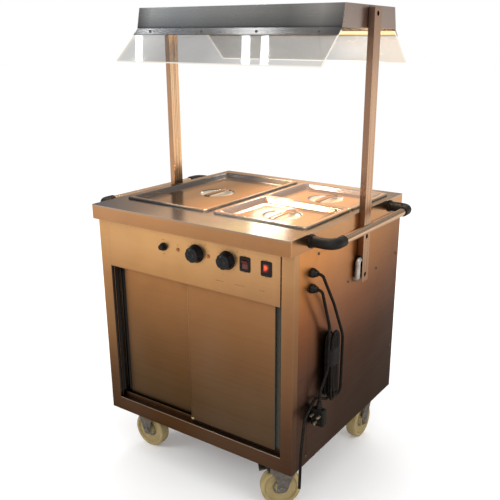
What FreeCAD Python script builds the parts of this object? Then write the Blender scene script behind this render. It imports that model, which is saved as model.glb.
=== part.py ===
import FreeCAD, Part
import math
import os

import Sketcher
from FreeCAD import Vector

# Mobile hot cupboard with a bain-marie top and a heated glass gantry.
# Millimetres. X runs left to right, Y front to back, Z up from the floor.
# The origin is on the floor, under the middle of the worktop.

doc = FreeCAD.newDocument("steam_table_unit")

# ---------------------------------------------------------------- the sheet

SIZES = [
    ("top_width", 736, "worktop, left to right"),
    ("top_depth", 705, "worktop, front to back"),
    ("top_height", 885, "floor to the worktop face"),
    ("drop_edge", 45, "height of the worktop's folded edge"),
    ("sheet_gauge", 1.5, "sheet metal thickness"),
    ("cabinet_width", 730, "outside the side panels"),
    ("cabinet_front", -330, "front face of the stiles"),
    ("cabinet_back", 350, "back face of the cabinet"),
    ("base_height", 165, "floor to the underside of the cabinet"),
    ("stile_width", 40, "front face of a corner stile"),
    ("stile_side", 25, "stile flange along the side"),
    ("stile_jamb", 50, "stile flange beside the doors"),
    ("fascia_foot", 687, "bottom of the control panel"),
    ("rail_top", 213, "top of the bottom rail"),
    ("door_width", 338, "one sliding door"),
    ("door_thick", 15, "one sliding door"),
    ("door_foot", 224, "bottom of the doors"),
    ("door_head", 698, "top of the doors"),
    ("door_pitch", 18, "front track to rear track"),
    ("door_inset", 12, "stile face to front door face"),
    ("door_overlap", 38, "doors closed"),
    ("grip_width", 22, "finger channel on a door edge"),
    ("grip_depth", 9, "finger channel on a door edge"),
    ("liner_width", 600, "hot cupboard liner, outside"),
    ("liner_floor", 222, "underside of the liner"),
    ("liner_roof", 650, "top of the liner"),
    ("pan_width", 325, "gastronorm full pan, short side"),
    ("pan_length", 530, "gastronorm full pan, long side"),
    ("pan_spacing", 26, "between the pan columns"),
    ("pan_front", -230, "front edge of the pans"),
    ("pan_depth", 150, "rim to floor"),
    ("pan_lip", 11, "rim overhang on the worktop"),
    ("rim_height", 3.5, "rolled rim of a pan"),
    ("pan_gauge", 1.2, "pan, lid and tank sheet"),
    ("lid_border", 52, "lid edge to its flat panel"),
    ("lid_sink", 8, "rim to the lid's flat panel"),
    ("dish_radius", 57, "finger dish in a lid"),
    ("dish_sink", 12, "finger dish in a lid"),
    ("strap_width", 30, "lid handle strap"),
    ("tank_floor", 708, "underside of the well tank"),
    ("control_height", 788, "centre line of the controls"),
    ("knob_radius", 27.5, "thermostat knob skirt"),
    ("knob_length", 21, "thermostat knob, panel to face"),
    ("spindle_radius", 3, "thermostat spindle"),
    ("running_gap", 0.05, "radial clearance of a turning fit"),
    ("left_knob", 30, "left to right position"),
    ("right_knob", 142, "left to right position"),
    ("left_neon", -38, "left to right position"),
    ("right_neon", 76, "left to right position"),
    ("left_rocker", 205, "left to right position"),
    ("right_rocker", 276, "left to right position"),
    ("reset_place", -94, "left to right position"),
    ("rocker_tilt", 9, "degrees either side of level"),
    ("post_wide", 20, "gantry post, left to right"),
    ("post_deep", 42, "gantry post, front to back"),
    ("post_foot", 663, "bottom of a gantry post"),
    ("gantry_centre", 55, "front to back position"),
    ("hood_top", 1466, "floor to the top of the hood"),
    ("hood_knee", 1405, "floor to the fold above the glass"),
    ("hood_crown", 154, "half depth at the top"),
    ("hood_waist", 168, "half depth at the fold"),
    ("flange_out", 20, "glass flange, outwards"),
    ("flange_down", 18.5, "glass flange, downwards"),
    ("glass_length", 133, "glass, along its slope"),
    ("glass_thick", 5, "glass"),
    ("screw_upper", 807, "upper post screw"),
    ("screw_lower", 685, "lower post screw"),
    ("screw_hood", 1444, "hood post screw"),
    ("handle_reach", 68, "worktop edge to handle centre"),
    ("handle_half", 250, "handle roots, front to back"),
    ("handle_drop", 23, "worktop face to handle centre"),
    ("elbow_radius", 15.5, "handle elbow"),
    ("bar_radius", 12, "handle bar"),
    ("gland_front", -238, "cable glands, front to back"),
    ("gland_upper", 769, "upper cable gland"),
    ("gland_lower", 723, "lower cable gland"),
    ("cord_radius", 4.4, "mains cord"),
    ("wheel_radius", 62.5, "castor wheel"),
    ("wheel_width", 36, "castor wheel tread"),
    ("castor_trail", 32, "swivel axis to wheel axle"),
    ("castor_across", 306, "swivel axes, left and right of centre"),
    ("castor_front", -238, "front swivel axes"),
    ("castor_rear", 258, "rear swivel axes"),
    ("axle_radius", 6, "castor axle and kingpin"),
    ("plate_length", 105, "castor top plate"),
    ("plate_width", 85, "castor top plate"),
]

sheet = doc.addObject("Spreadsheet::Sheet", "sizes")
for row, (alias, number, note) in enumerate(SIZES, start=1):
    sheet.set("A%d" % row, alias)
    sheet.set("B%d" % row, str(number))
    sheet.set("C%d" % row, note)
    sheet.setAlias("B%d" % row, alias)
doc.recompute()


class Size:
    """A length that carries its number and the spreadsheet formula it comes from."""

    def __init__(self, number, formula):
        self.number = number
        self.formula = formula

    def __add__(self, other):
        other = as_size(other)
        return Size(self.number + other.number, "(%s + %s)" % (self.formula, other.formula))

    def __sub__(self, other):
        other = as_size(other)
        return Size(self.number - other.number, "(%s - %s)" % (self.formula, other.formula))

    def __mul__(self, factor):
        return Size(self.number * factor, "(%s * %s)" % (self.formula, repr(float(factor))))

    def __truediv__(self, factor):
        return self * (1.0 / factor)

    def __neg__(self):
        return self * -1

    def __radd__(self, other):
        return as_size(other) + self

    def __rsub__(self, other):
        return as_size(other) - self


def as_size(value):
    """Turns a plain number into a Size, and leaves a Size alone."""
    if isinstance(value, Size):
        return value
    return Size(float(value), repr(float(value)))


def cell(alias):
    """The sheet's cell with this alias, as a Size."""
    return Size(float(sheet.get(alias)), "sizes." + alias)


def bind(item, prop, size):
    """Binds one property of a document object to the sheet."""
    item.setExpression(prop, as_size(size).formula)


def numbers(sizes):
    """The plain numbers of a row of sizes, as a vector."""
    return Vector(*[as_size(s).number for s in sizes])


# ---------------------------------------------------------------- building blocks

ACROSS, ALONG, UP = Vector(1, 0, 0), Vector(0, 1, 0), Vector(0, 0, 1)
subparts = {}


def place(item, at, axis=UP, angle=0):
    """Binds an object's position; the turn is a plain constant."""
    item.Placement = FreeCAD.Placement(numbers(at), FreeCAD.Rotation(axis, angle))
    for letter, size in zip("xyz", at):
        bind(item, "Placement.Base." + letter, size)
    return item


def block(name, x, y, z):
    """A box between two sizes on each axis."""
    item = doc.addObject("Part::Box", name)
    for prop, (low, high) in zip(("Length", "Width", "Height"), (x, y, z)):
        bind(item, prop, as_size(high) - low)
    return place(item, (x[0], y[0], z[0]))


def rod(name, radius, start, length, towards=UP):
    """A cylinder from a start point, along one axis."""
    item = doc.addObject("Part::Cylinder", name)
    bind(item, "Radius", radius)
    bind(item, "Height", length)
    turn = FreeCAD.Rotation(UP, towards)
    return place(item, start, turn.Axis, math.degrees(turn.Angle))


def taper(name, radius_start, radius_end, start, length, towards=UP):
    """A cone frustum from a start point, along one axis."""
    item = doc.addObject("Part::Cone", name)
    bind(item, "Radius1", radius_start)
    bind(item, "Radius2", radius_end)
    bind(item, "Height", length)
    turn = FreeCAD.Rotation(UP, towards)
    return place(item, start, turn.Axis, math.degrees(turn.Angle))


def wedge(name, low, high, bottom, top):
    """A four-sided frustum: bottom and top are (x0, x1, y0, y1), low and high their heights."""
    item = doc.addObject("Part::Wedge", name)
    # The wedge's own Y axis becomes Z, so its Z runs towards the front.
    place(item, (0, 0, low), ACROSS, 90)
    for prop, size in (
        ("Xmin", bottom[0]), ("Xmax", bottom[1]), ("Zmin", -as_size(bottom[3])),
        ("Zmax", -as_size(bottom[2])),
        ("X2min", top[0]), ("X2max", top[1]), ("Z2min", -as_size(top[3])), ("Z2max", -as_size(top[2])),
        ("Ymin", 0), ("Ymax", as_size(high) - low),
    ):
        setattr(item, prop, as_size(size).number)
        bind(item, prop, size)
    return item


def fuse(name, *items):
    """One solid from several touching ones."""
    item = doc.addObject("Part::MultiFuse", name)
    item.Shapes = list(items)
    item.Refine = True
    return item


def shared(name, *items):
    """What several solids have in common."""
    item = doc.addObject("Part::MultiCommon", name)
    item.Shapes = list(items)
    return item


def group(name, *items):
    """Several solids that share one sub-part."""
    item = doc.addObject("Part::Compound", name)
    item.Links = list(items)
    return item


def cut(name, base, *tools):
    """The base without the tools."""
    item = doc.addObject("Part::Cut", name)
    item.Base = base
    item.Tool = tools[0] if len(tools) == 1 else group(name + "_tools", *tools)
    item.Refine = True
    return item


def mirrored(name, source, normal=ACROSS):
    """A mirror image about a plane through the origin."""
    item = doc.addObject("Part::Mirroring", name)
    item.Source = source
    item.Normal = normal
    return item


def rounded(name, source, radius, chosen):
    """The source with every edge that passes the test rounded."""
    doc.recompute()
    item = doc.addObject("Part::Fillet", name)
    item.Base = source
    radius = as_size(radius).number
    edges = [i for i, edge in enumerate(source.Shape.Edges, start=1) if chosen(edge)]
    item.Edges = [(i, radius, radius) for i in edges]
    return item


def is_upright(edge):
    """True for a straight vertical edge."""
    return len(edge.Vertexes) == 2 and abs(edge.tangentAt(edge.FirstParameter).z) > 0.999


def is_steep(edge):
    """True for the near-vertical edges of a tapered body."""
    return abs(edge.tangentAt(edge.FirstParameter).z) > 0.9


PLANES = {"XY": "XY_Plane", "XZ": "XZ_Plane", "YZ": "YZ_Plane"}


def sketch_on(body, plane, offset):
    """A sketch on one of the body's own origin planes, moved along the plane's normal."""
    sketch = body.newObject("Sketcher::SketchObject", body.Name + "_sketch")
    origin = [f for f in body.Origin.OriginFeatures if f.Role == PLANES[plane]][0]
    sketch.AttachmentSupport = [(origin, "")]
    sketch.MapMode = "FlatFace"
    bind(sketch, "AttachmentOffset.Base.z", offset)
    return sketch


def pin_point(sketch, curve, end, u, v):
    """Ties one sketch point to two sizes measured from the sketch origin."""
    for kind, size in (("DistanceX", as_size(u)), ("DistanceY", as_size(v))):
        index = sketch.addConstraint(Sketcher.Constraint(kind, -1, 1, curve, end, size.number))
        sketch.setExpression("Constraints[%d]" % index, size.formula)


def draw_polygon(sketch, corners):
    """A closed outline whose corners all follow the sheet."""
    first = sketch.GeometryCount
    spots = [Vector(as_size(u).number, as_size(v).number, 0) for u, v in corners]
    for here, there in zip(spots, spots[1:] + spots[:1]):
        sketch.addGeometry(Part.LineSegment(here, there), False)
    count = len(corners)
    for i in range(count):
        sketch.addConstraint(Sketcher.Constraint("Coincident", first + i, 2, first + (i + 1) % count, 1))
        pin_point(sketch, first + i, 1, *corners[i])


def draw_circle(sketch, u, v, radius):
    """A circle that follows the sheet."""
    centre = Vector(as_size(u).number, as_size(v).number, 0)
    curve = sketch.addGeometry(Part.Circle(centre, UP, as_size(radius).number), False)
    pin_point(sketch, curve, 3, u, v)
    index = sketch.addConstraint(Sketcher.Constraint("Radius", curve, as_size(radius).number))
    bind(sketch, "Constraints[%d]" % index, radius)


def prism(name, plane, corners, low, high, polygons=(), circles=()):
    """A padded profile between two sizes on the plane's normal, with openings."""
    body = doc.addObject("PartDesign::Body", name)
    # The XZ plane's own normal points to the front, so its offset is the far side, negated.
    sketch = sketch_on(body, plane, -as_size(high) if plane == "XZ" else as_size(low))
    draw_polygon(sketch, corners)
    for opening in polygons:
        draw_polygon(sketch, opening)
    for u, v, radius in circles:
        draw_circle(sketch, u, v, radius)
    pad = body.newObject("PartDesign::Pad", name + "_pad")
    pad.Profile = sketch
    bind(pad, "Length", as_size(high) - low)
    body.Tip = pad
    return body


def turned(name, corners):
    """A profile of (radius, height) corners revolved about its own vertical axis."""
    body = doc.addObject("PartDesign::Body", name)
    sketch = sketch_on(body, "XZ", 0)
    draw_polygon(sketch, corners)
    spin = body.newObject("PartDesign::Revolution", name + "_turn")
    spin.Profile = sketch
    spin.ReferenceAxis = (sketch, ["V_Axis"])
    spin.Angle = 360
    body.Tip = spin
    return body


def rectangle(u0, u1, v0, v1):
    """Corners of an upright rectangle."""
    return [(u0, v0), (u1, v0), (u1, v1), (u0, v1)]


def bent_path(points, bends):
    """A wire through the points: bends is one radius for every corner, or a list with one for each."""
    edges = []
    start = points[0]
    if not isinstance(bends, list):
        bends = [bends] * (len(points) - 2)
    for before, corner, after, bend in zip(points, points[1:], points[2:], bends):
        back = (before - corner).normalize()
        ahead = (after - corner).normalize()
        half = back.getAngle(ahead) / 2
        trim = bend / math.tan(half)
        enter = corner + back * trim
        leave = corner + ahead * trim
        middle = (back + ahead).normalize()
        apex = corner + middle * (bend / math.sin(half) - bend)
        if (enter - start).Length > 1e-6:
            edges.append(Part.makeLine(start, enter))
        edges.append(Part.Arc(enter, apex, leave).toShape())
        start = leave
    edges.append(Part.makeLine(start, points[-1]))
    return Part.Wire(edges)


def sweep(path, radius, bore=0):
    """A round bar, or a tube when it has a bore, along a path."""
    edge = path.OrderedEdges[0]
    start = edge.valueAt(edge.FirstParameter)
    ahead = edge.tangentAt(edge.FirstParameter)
    if (start - path.OrderedVertexes[0].Point).Length > 1e-6:
        start = edge.valueAt(edge.LastParameter)
        ahead = edge.tangentAt(edge.LastParameter) * -1
    solid = path.makePipe(Part.Face(Part.Wire([Part.Circle(start, ahead, radius).toShape()])))
    if bore:
        solid = solid.cut(path.makePipe(Part.Face(Part.Wire([Part.Circle(start, ahead, bore).toShape()]))))
    return solid


def formed(name, shape):
    """A bent bar or cable: its shape comes from Part functions, its sizes from the sheet."""
    item = doc.addObject("Part::Feature", name)
    item.Shape = shape
    item.Placement = FreeCAD.Placement()
    return item


def keep(name, item):
    """Registers a finished sub-part under its own label."""
    item.Label = name
    subparts[name] = item
    return item


# ---------------------------------------------------------------- shared sizes

gauge = cell("sheet_gauge")
edge_x = cell("top_width") / 2
edge_y = cell("top_depth") / 2
top = cell("top_height")
under_top = top - gauge
side = cell("cabinet_width") / 2
inside = side - gauge
front = cell("cabinet_front")
back = cell("cabinet_back")
base = cell("base_height")
opening = side - cell("stile_width")
jamb_back = front + cell("stile_jamb")
fascia_foot = cell("fascia_foot")
rail_top = cell("rail_top")
line = cell("control_height")
centre_y = cell("gantry_centre")
gap = cell("running_gap")

front_door = front + cell("door_inset")
rear_door = front_door + cell("door_pitch")
door_thick = cell("door_thick")
track_ribs = [front_door + door_thick / 2, rear_door + door_thick / 2]

pan_wide, pan_long = cell("pan_width"), cell("pan_length")
pan_front = cell("pan_front")
pan_back = pan_front + pan_long
pan_middle = pan_front + pan_long / 2
column = cell("pan_spacing") / 2
lip = cell("pan_lip")
thin = cell("pan_gauge")
rim_top = top + cell("rim_height")

post_in = side
post_out = side + cell("post_wide")
post_front = centre_y - cell("post_deep") / 2
post_back = centre_y + cell("post_deep") / 2

SIDES = (-1, 1)
CORNERS = [("fl", -1, "castor_front", 0), ("fr", 1, "castor_front", 221),
           ("bl", -1, "castor_rear", 250), ("br", 1, "castor_rear", 270)]


# ---------------------------------------------------------------- worktop and well

def worktop():
    """Folded sheet top with a drop edge, two pan openings and a notch for each post."""
    outer = block("top_outer", (-edge_x, edge_x), (-edge_y, edge_y), (top - cell("drop_edge"), top))
    outer = rounded("top_rounded", outer, 4, is_upright)
    inner = block("top_inner", (gauge - edge_x, edge_x - gauge), (gauge - edge_y, edge_y - gauge),
                  (top - cell("drop_edge") - 1, under_top))
    slack = lip - 1.5
    openings = []
    for i, low in enumerate((-column - pan_wide, column)):
        hole = block("pan_opening_%d" % i, (low + slack, low + pan_wide - slack),
                     (pan_front + slack, pan_back - slack), (top - 10, top + 10))
        openings.append(rounded("pan_opening_round_%d" % i, hole, 22, is_upright))
    notches = [block("post_notch_%d" % s, (low, low + 10), (post_front - 0.2, post_back + 0.2),
                     (top - cell("drop_edge") - 1, top + 1))
               for s, low in ((0, post_in - 0.2), (1, -post_in - 9.8))]
    keep("worktop", cut("worktop_cut", outer, inner, *(openings + notches)))


def well_tank():
    """Open tank under both pan openings, hung on a flange against the worktop."""
    x0, x1 = -column - pan_wide + 4, column + pan_wide - 4
    y0, y1 = pan_front + 5, pan_back - 5
    floor = cell("tank_floor")
    outer = block("tank_outer", (x0 - thin, x1 + thin), (y0 - thin, y1 + thin), (floor, under_top))
    flange = block("tank_flange", (x0 - 12, x1 + 12), (y0 - 12, y1 + 12), (under_top - thin, under_top))
    inner = block("tank_inner", (x0, x1), (y0, y1), (floor + thin, top))
    keep("well_tank", cut("tank_cut", fuse("tank_whole", outer, flange), inner))


def well_divider():
    """Cross bar that carries the meeting rims of the two half pans."""
    bar = block("divider_bar", (column + lip - 1.5, column + pan_wide - lip + 1.5),
                (pan_middle - 9, pan_middle + 9), (top - 7, top))
    groove = block("divider_groove", (column, column + pan_wide), (pan_middle - 7.5, pan_middle + 7.5),
                   (top - 9, top - gauge))
    keep("well_divider", cut("divider_cut", bar, groove))


def pan(name, x0, x1, y0, y1):
    """Gastronorm pan: rolled rim and a tapered body with round corners."""
    depth = cell("pan_depth")
    draw = 8
    rim = rounded(name + "_rim", block(name + "_plate", (x0, x1), (y0, y1), (top, rim_top)), 14, is_upright)
    outer = wedge(name + "_outer", rim_top - depth, rim_top,
                  (x0 + lip + draw, x1 - lip - draw, y0 + lip + draw, y1 - lip - draw),
                  (x0 + lip, x1 - lip, y0 + lip, y1 - lip))
    inner = wedge(name + "_inner", rim_top - depth + thin, rim_top + 0.5,
                  (x0 + lip + thin + draw, x1 - lip - thin - draw, y0 + lip + thin + draw,
                   y1 - lip - thin - draw),
                  (x0 + lip + thin, x1 - lip - thin, y0 + lip + thin, y1 - lip - thin))
    shell = rounded(name + "_outer_round", outer, 24, is_steep)
    hollow = rounded(name + "_inner_round", inner, 24, is_steep)
    keep(name, cut(name + "_cut", fuse(name + "_whole", rim, shell), hollow))


def lid(name, x0, x1, y0, y1):
    """Lid: rim on the pan's rim, border sloping down to a flat panel, dish and bridging strap."""
    border, sink = cell("lid_border"), cell("lid_sink")
    step = lip + 3
    high = rim_top + gauge
    low = high - sink
    xm, ym = (x0 + x1) / 2, (y0 + y1) / 2
    plate = rounded(name + "_rim", block(name + "_plate", (x0, x1), (y0, y1), (rim_top, high)), 14,
                    is_upright)
    inset = lambda by: (x0 + by, x1 - by, y0 + by, y1 - by)
    slopes = []
    for word, bottom, ceiling, foot, edge, corner in (
            ("outer", low - thin, rim_top, border, step, 20),
            ("inner", low, high, border + 0.5, step + 1.5, 18.5)):
        slope = wedge("%s_%s" % (name, word), bottom, ceiling, inset(foot), inset(edge))
        x_low, x_high, y_low, y_high = inset(edge)
        bound = rounded("%s_%s_bound" % (name, word),
                        block("%s_%s_box" % (name, word), (x_low, x_high), (y_low, y_high),
                              (bottom, ceiling)),
                        corner, is_upright)
        slopes.append(shared("%s_%s_slope" % (name, word), slope, bound))
    outer, inner = slopes
    dish_floor = low - cell("dish_sink")
    dish = taper(name + "_dish", cell("dish_radius") - 8, cell("dish_radius"),
                 (xm, ym, dish_floor - thin), cell("dish_sink") + thin)
    bowl = taper(name + "_bowl", cell("dish_radius") - 9, cell("dish_radius") - 1,
                 (xm, ym, dish_floor), cell("dish_sink") + 0.1)
    shell = cut(name + "_shell", fuse(name + "_whole", plate, outer, dish), inner, bowl)
    half_strap = cell("strap_width") / 2
    strap = block(name + "_strap", (xm - half_strap, xm + half_strap),
                  (ym - cell("dish_radius") - 4, ym + cell("dish_radius") + 4), (low - 0.2, low + 1.8))
    keep(name, fuse(name + "_fuse", shell, strap))


def pans_and_lids():
    """One full pan on the left, two half pans on the right, each with its lid."""
    half = 0.25
    places = [
        ("full", -column - pan_wide, -column, pan_front, pan_back),
        ("front", column, column + pan_wide, pan_front, pan_middle - half),
        ("rear", column, column + pan_wide, pan_middle + half, pan_back),
    ]
    for word, x0, x1, y0, y1 in places:
        pan("pan_" + word, x0, x1, y0, y1)
        lid("lid_" + word, x0, x1, y0, y1)


# ---------------------------------------------------------------- cabinet

SIDE_SCREWS = [(-204, 815), (-18, 678), (179, 667), (330, 681), (330, 330), (-250, 190)]


def side_panels():
    """Left and right outer skins, drilled for the posts, glands and screws."""
    right = prism("side_right", "YZ", rectangle(front + cell("stile_side"), back, base, under_top),
                  inside, side, circles=[
                      (centre_y, cell("screw_upper"), 4.1), (centre_y, cell("screw_lower"), 4.1),
                      (cell("gland_front"), cell("gland_upper"), 10),
                      (cell("gland_front"), cell("gland_lower"), 10),
                      (22, 676, 8.5)] + [(y, z, 2.1) for y, z in SIDE_SCREWS])
    left = prism("side_left", "YZ", rectangle(front + cell("stile_side"), back, base, under_top),
                 -side, -inside, circles=[
                     (centre_y, cell("screw_upper"), 4.1), (centre_y, cell("screw_lower"), 4.1)]
                 + [(y, z, 2.1) for y, z in SIDE_SCREWS])
    keep("side_panels", group("side_panels_pair", left, right))


def back_panel():
    """Rear skin with two rows of vent slots."""
    plate = block("back_plate", (-inside, inside), (back - gauge, back), (base, under_top))
    slots = [block("vent_%d_%d" % (row, i), (x, x + 70), (back - 5, back + 5), (z, z + 6))
             for row, z in enumerate((735, 755, 775))
             for i, x in enumerate((-280, -180, -80, 20, 120, 220))]
    keep("back_panel", cut("back_cut", plate, *slots))


def castor_places():
    """The swivel axis of each castor."""
    return [(word, cell("castor_across") * s, cell(row), angle) for word, s, row, angle in CORNERS]


def bolt_places():
    """Centres of the four bolts of every castor plate."""
    return [(x + dx, y + dy) for _, x, y, _ in castor_places() for dx in (-40, 40) for dy in (-30, 30)]


def base_panel():
    """Floor tray of the cabinet, drilled for the castor bolts."""
    plate = prism("base_plate", "XY", rectangle(-inside, inside, jamb_back, back - gauge), base, base + gauge,
                  circles=[(x, y, 4.1) for x, y in bolt_places()])
    lips = [block("base_lip_%d" % i, (x, x + gauge), (jamb_back, back - gauge), (base, base + 20))
            for i, x in enumerate((-inside, inside - gauge))]
    keep("base_panel", fuse("base_fuse", plate, *lips))


def stiles():
    """Folded corner posts: front face, side flange and a jamb with the door ribs."""
    wall = opening + gauge
    profile = [(opening, front), (side, front), (side, front + cell("stile_side")),
               (inside, front + cell("stile_side")), (inside, front + gauge), (wall, front + gauge),
               (wall, jamb_back), (opening, jamb_back)]
    fold = prism("stile_fold", "XY", profile, base, under_top)
    ribs = [block("stile_rib_%d" % i, (opening - 5, opening), (y, y + gauge), (rail_top, fascia_foot))
            for i, y in enumerate((front_door - 4, rear_door - 2.25, rear_door + door_thick + 2))]
    right = fuse("stile_right", fold, *ribs)
    keep("stiles", group("stiles_pair", right, mirrored("stile_left", right)))


def bottom_rail():
    """Folded sill under the doors with two upright track ribs."""
    profile = [(front, base), (front, rail_top), (jamb_back, rail_top), (jamb_back, rail_top - gauge),
               (front + gauge, rail_top - gauge), (front + gauge, base + gauge),
               (front + 20, base + gauge), (front + 20, base)]
    channel = prism("rail_channel", "YZ", profile, -opening, opening)
    ribs = [block("rail_rib_%d" % i, (-opening + 6, opening - 6), (y - 1, y + 1), (rail_top, rail_top + 16))
            for i, y in enumerate(track_ribs)]
    keep("bottom_rail", fuse("rail_fuse", channel, *ribs))


def head_track():
    """Channel that holds the tops of the doors."""
    low, high = cell("door_head") - 8, cell("door_head") + 4
    web = block("head_web", (-opening, opening), (front_door - 4, jamb_back - 1), (high - gauge, high))
    ribs = [block("head_rib_%d" % i, (-opening, opening), (y, y + gauge), (low, high))
            for i, y in enumerate((front_door - 4, rear_door - 2.25, rear_door + door_thick + 2))]
    keep("head_track", fuse("head_fuse", web, *ribs))


def control_panel():
    """Fascia with a folded foot, pierced for the controls."""
    right_gap = 4
    profile = [(front, fascia_foot), (front, under_top - 2), (front + gauge, under_top - 2),
               (front + gauge, fascia_foot + gauge), (front + 8, fascia_foot + gauge),
               (front + 8, fascia_foot)]
    sheet_fold = prism("fascia_fold", "YZ", profile, -opening, opening - right_gap)
    holes = [rod("fascia_hole_%d" % i, radius, (x, front - 5, line), 12, ALONG)
             for i, (x, radius) in enumerate((
                 (cell("left_knob"), 5), (cell("right_knob"), 5), (cell("left_neon"), 4),
                 (cell("right_neon"), 4), (cell("reset_place"), 10.5)))]
    windows = [block("fascia_window_%d" % i, (x - 14, x + 14), (front - 5, front + 7), (line - 15, line + 15))
               for i, x in enumerate((cell("left_rocker"), cell("right_rocker")))]
    keep("control_panel", cut("fascia_cut", sheet_fold, *(holes + windows)))


def cupboard_liner():
    """Inner box of the hot cupboard, open at the front, with a flange behind the doors."""
    half, floor, roof = cell("liner_width") / 2, cell("liner_floor"), cell("liner_roof")
    box = block("liner_box", (-half, half), (jamb_back, 315), (floor, roof))
    flange = block("liner_flange", (-opening, opening), (jamb_back, jamb_back + gauge),
                   (rail_top, cell("door_head") - 8))
    hollow = block("liner_hollow", (gauge - half, half - gauge), (jamb_back - 5, 315 - gauge),
                   (floor + gauge, roof - gauge))
    keep("cupboard_liner", cut("liner_cut", fuse("liner_whole", box, flange), hollow))


SHELF_LEVELS = (330, 430, 530)


def shelf_runners():
    """Angle runners at three levels on both sides of the cupboard."""
    wall = cell("liner_width") / 2 - gauge
    runners = []
    for z in SHELF_LEVELS:
        leg = block("runner_leg_%d" % z, (wall - gauge, wall), (-255, 300), (z, z + 16))
        foot = block("runner_foot_%d" % z, (wall - 18, wall), (-255, 300), (z, z + gauge))
        right = fuse("runner_%d" % z, leg, foot)
        runners += [right, mirrored("runner_left_%d" % z, right)]
    keep("shelf_runners", group("shelf_runners_set", *runners))


def cupboard_shelf():
    """Lift-out slotted shelf on the middle runners."""
    half = cell("liner_width") / 2 - 4
    low = SHELF_LEVELS[1] + gauge
    slots = [rectangle(x - 5, x + 5, y, y + 190) for y in (-225, 35) for x in range(-240, 241, 60)]
    plate = prism("shelf_plate", "XY", rectangle(-half, half, -255, 296), low, low + gauge, polygons=slots)
    lips = [block("shelf_lip_%d" % i, (-half, half), (y, y + gauge), (low, low + 14))
            for i, y in enumerate((-255, 294.5))]
    keep("cupboard_shelf", fuse("shelf_fuse", plate, *lips))


def insulation():
    """Mineral wool slabs beside, behind and above the liner."""
    half = cell("liner_width") / 2
    slabs = [block("wool_left", (-inside + 8, -half - 2), (-258, 340), (190, 650)),
             block("wool_right", (half + 2, inside - 8), (-258, 340), (190, 650)),
             block("wool_back", (-half, half), (318, 345), (190, 650)),
             block("wool_top", (-half, half), (-225, 310), (652, 690))]
    keep("insulation", group("insulation_set", *slabs))


def heating_elements():
    """Two rod elements under the tank and one under the liner."""
    under_tank = cell("tank_floor").number - 4.2
    under_liner = cell("liner_floor").number - 8
    hairpins = [[(-290, -210), (-290, 260), (-180, 260), (-180, -180), (-70, -180), (-70, 260)],
                [(290, -210), (290, 260), (180, 260), (180, -180), (70, -180), (70, 260)]]
    rods = [sweep(bent_path([Vector(x, y, under_tank) for x, y in pin], 30), 4) for pin in hairpins]
    loop = [(-250, -230), (-250, 270), (-85, 270), (-85, -200), (85, -200), (85, 270), (250, 270),
            (250, -230)]
    rods.append(sweep(bent_path([Vector(x, y, under_liner) for x, y in loop], 40), 4))
    keep("heating_elements", formed("elements", Part.makeCompound(rods)))


# ---------------------------------------------------------------- doors

def door(name, x0, y0, grip_side):
    """Double-skinned sliding door with a finger channel and a grooved foot."""
    x1, y1 = x0 + cell("door_width"), y0 + door_thick
    low, high = cell("door_foot"), cell("door_head")
    middle = y0 + door_thick / 2
    skin = block(name + "_skin", (x0, x1), (y0, y1), (low, high))
    core = block(name + "_core", (x0 + 26, x1 - 26), (y0 + gauge, y1 - gauge), (low + 14, high - 14))
    grip_x = (x0 - 1, x0 + cell("grip_width")) if grip_side < 0 else (x1 - cell("grip_width"), x1 + 1)
    grip = block(name + "_grip", grip_x, (y0 - 1, y0 + cell("grip_depth")), (low - 1, high + 1))
    groove = block(name + "_groove", (x0 - 1, x1 + 1), (middle - 2, middle + 2), (low - 1, low + 8))
    keep(name, cut(name + "_cut", skin, core, grip, groove))


def doors():
    """The left door runs in the rear track, the right one in the front track."""
    lap = cell("door_overlap") / 2
    door("door_left", lap - cell("door_width"), rear_door, -1)
    door("door_right", -lap, front_door, 1)


# ---------------------------------------------------------------- controls

def knob(name, x):
    """Lobed thermostat knob with its spindle, turning about the front-to-back axis."""
    face = front - 1.2
    length, radius = cell("knob_length"), cell("knob_radius")
    skirt = taper(name + "_skirt", radius, radius - 2, (x, face, line), 6, -ALONG)
    grip = taper(name + "_grip", radius - 3, radius - 5.5, (x, face - 6, line), length - 6, -ALONG)
    bites = []
    for i in range(4):
        angle = math.radians(65 + 90 * i)
        reach = 31.5
        bites.append(rod("%s_bite_%d" % (name, i), 11,
                         (x + reach * math.cos(angle), face - 7, line + reach * math.sin(angle)), 30, -ALONG))
    spindle = rod(name + "_spindle", cell("spindle_radius"), (x, front + 22, line), 26, -ALONG)
    keep(name, fuse(name + "_fuse", cut(name + "_lobes", fuse(name + "_blank", skirt, grip), *bites),
                    spindle))


def thermostats():
    """Control thermostats behind the fascia, each with a threaded bush, capillary and bulb."""
    bodies = []
    for word, name in (("left", "left_knob"), ("right", "right_knob")):
        x = cell(name)
        case = block("stat_case_" + word, (x - 19, x + 19), (front + 4, front + 32), (line - 21, line + 21))
        bush = rod("stat_bush_" + word, 4.8, (x, front - 0.6, line), 8, ALONG)
        bore = rod("stat_bore_" + word, cell("spindle_radius") + gap, (x, front - 2, line), 25, ALONG)
        nut = rod("stat_nut_" + word, 8, (x, front + gauge, line), 3, ALONG)
        bodies.append(cut("stat_" + word, fuse("stat_whole_" + word, case, bush, nut), bore))
    bulbs = []
    for word, name, y, z in (("left", "left_knob", -190, 695.5), ("right", "right_knob", -150, 695.5)):
        x = cell(name).number
        pipe = bent_path([Vector(x, front.number + 32, 775), Vector(x, front.number + 52, 775),
                          Vector(x, front.number + 52, z), Vector(x, y, z)], 8)
        bulbs.append(formed("capillary_" + word, sweep(pipe, 1.5)))
        bulbs.append(rod("stat_bulb_" + word, 3, (x, y, z), 80, ALONG))
    keep("thermostats", group("thermostats_set", *(bodies + bulbs)))


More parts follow.
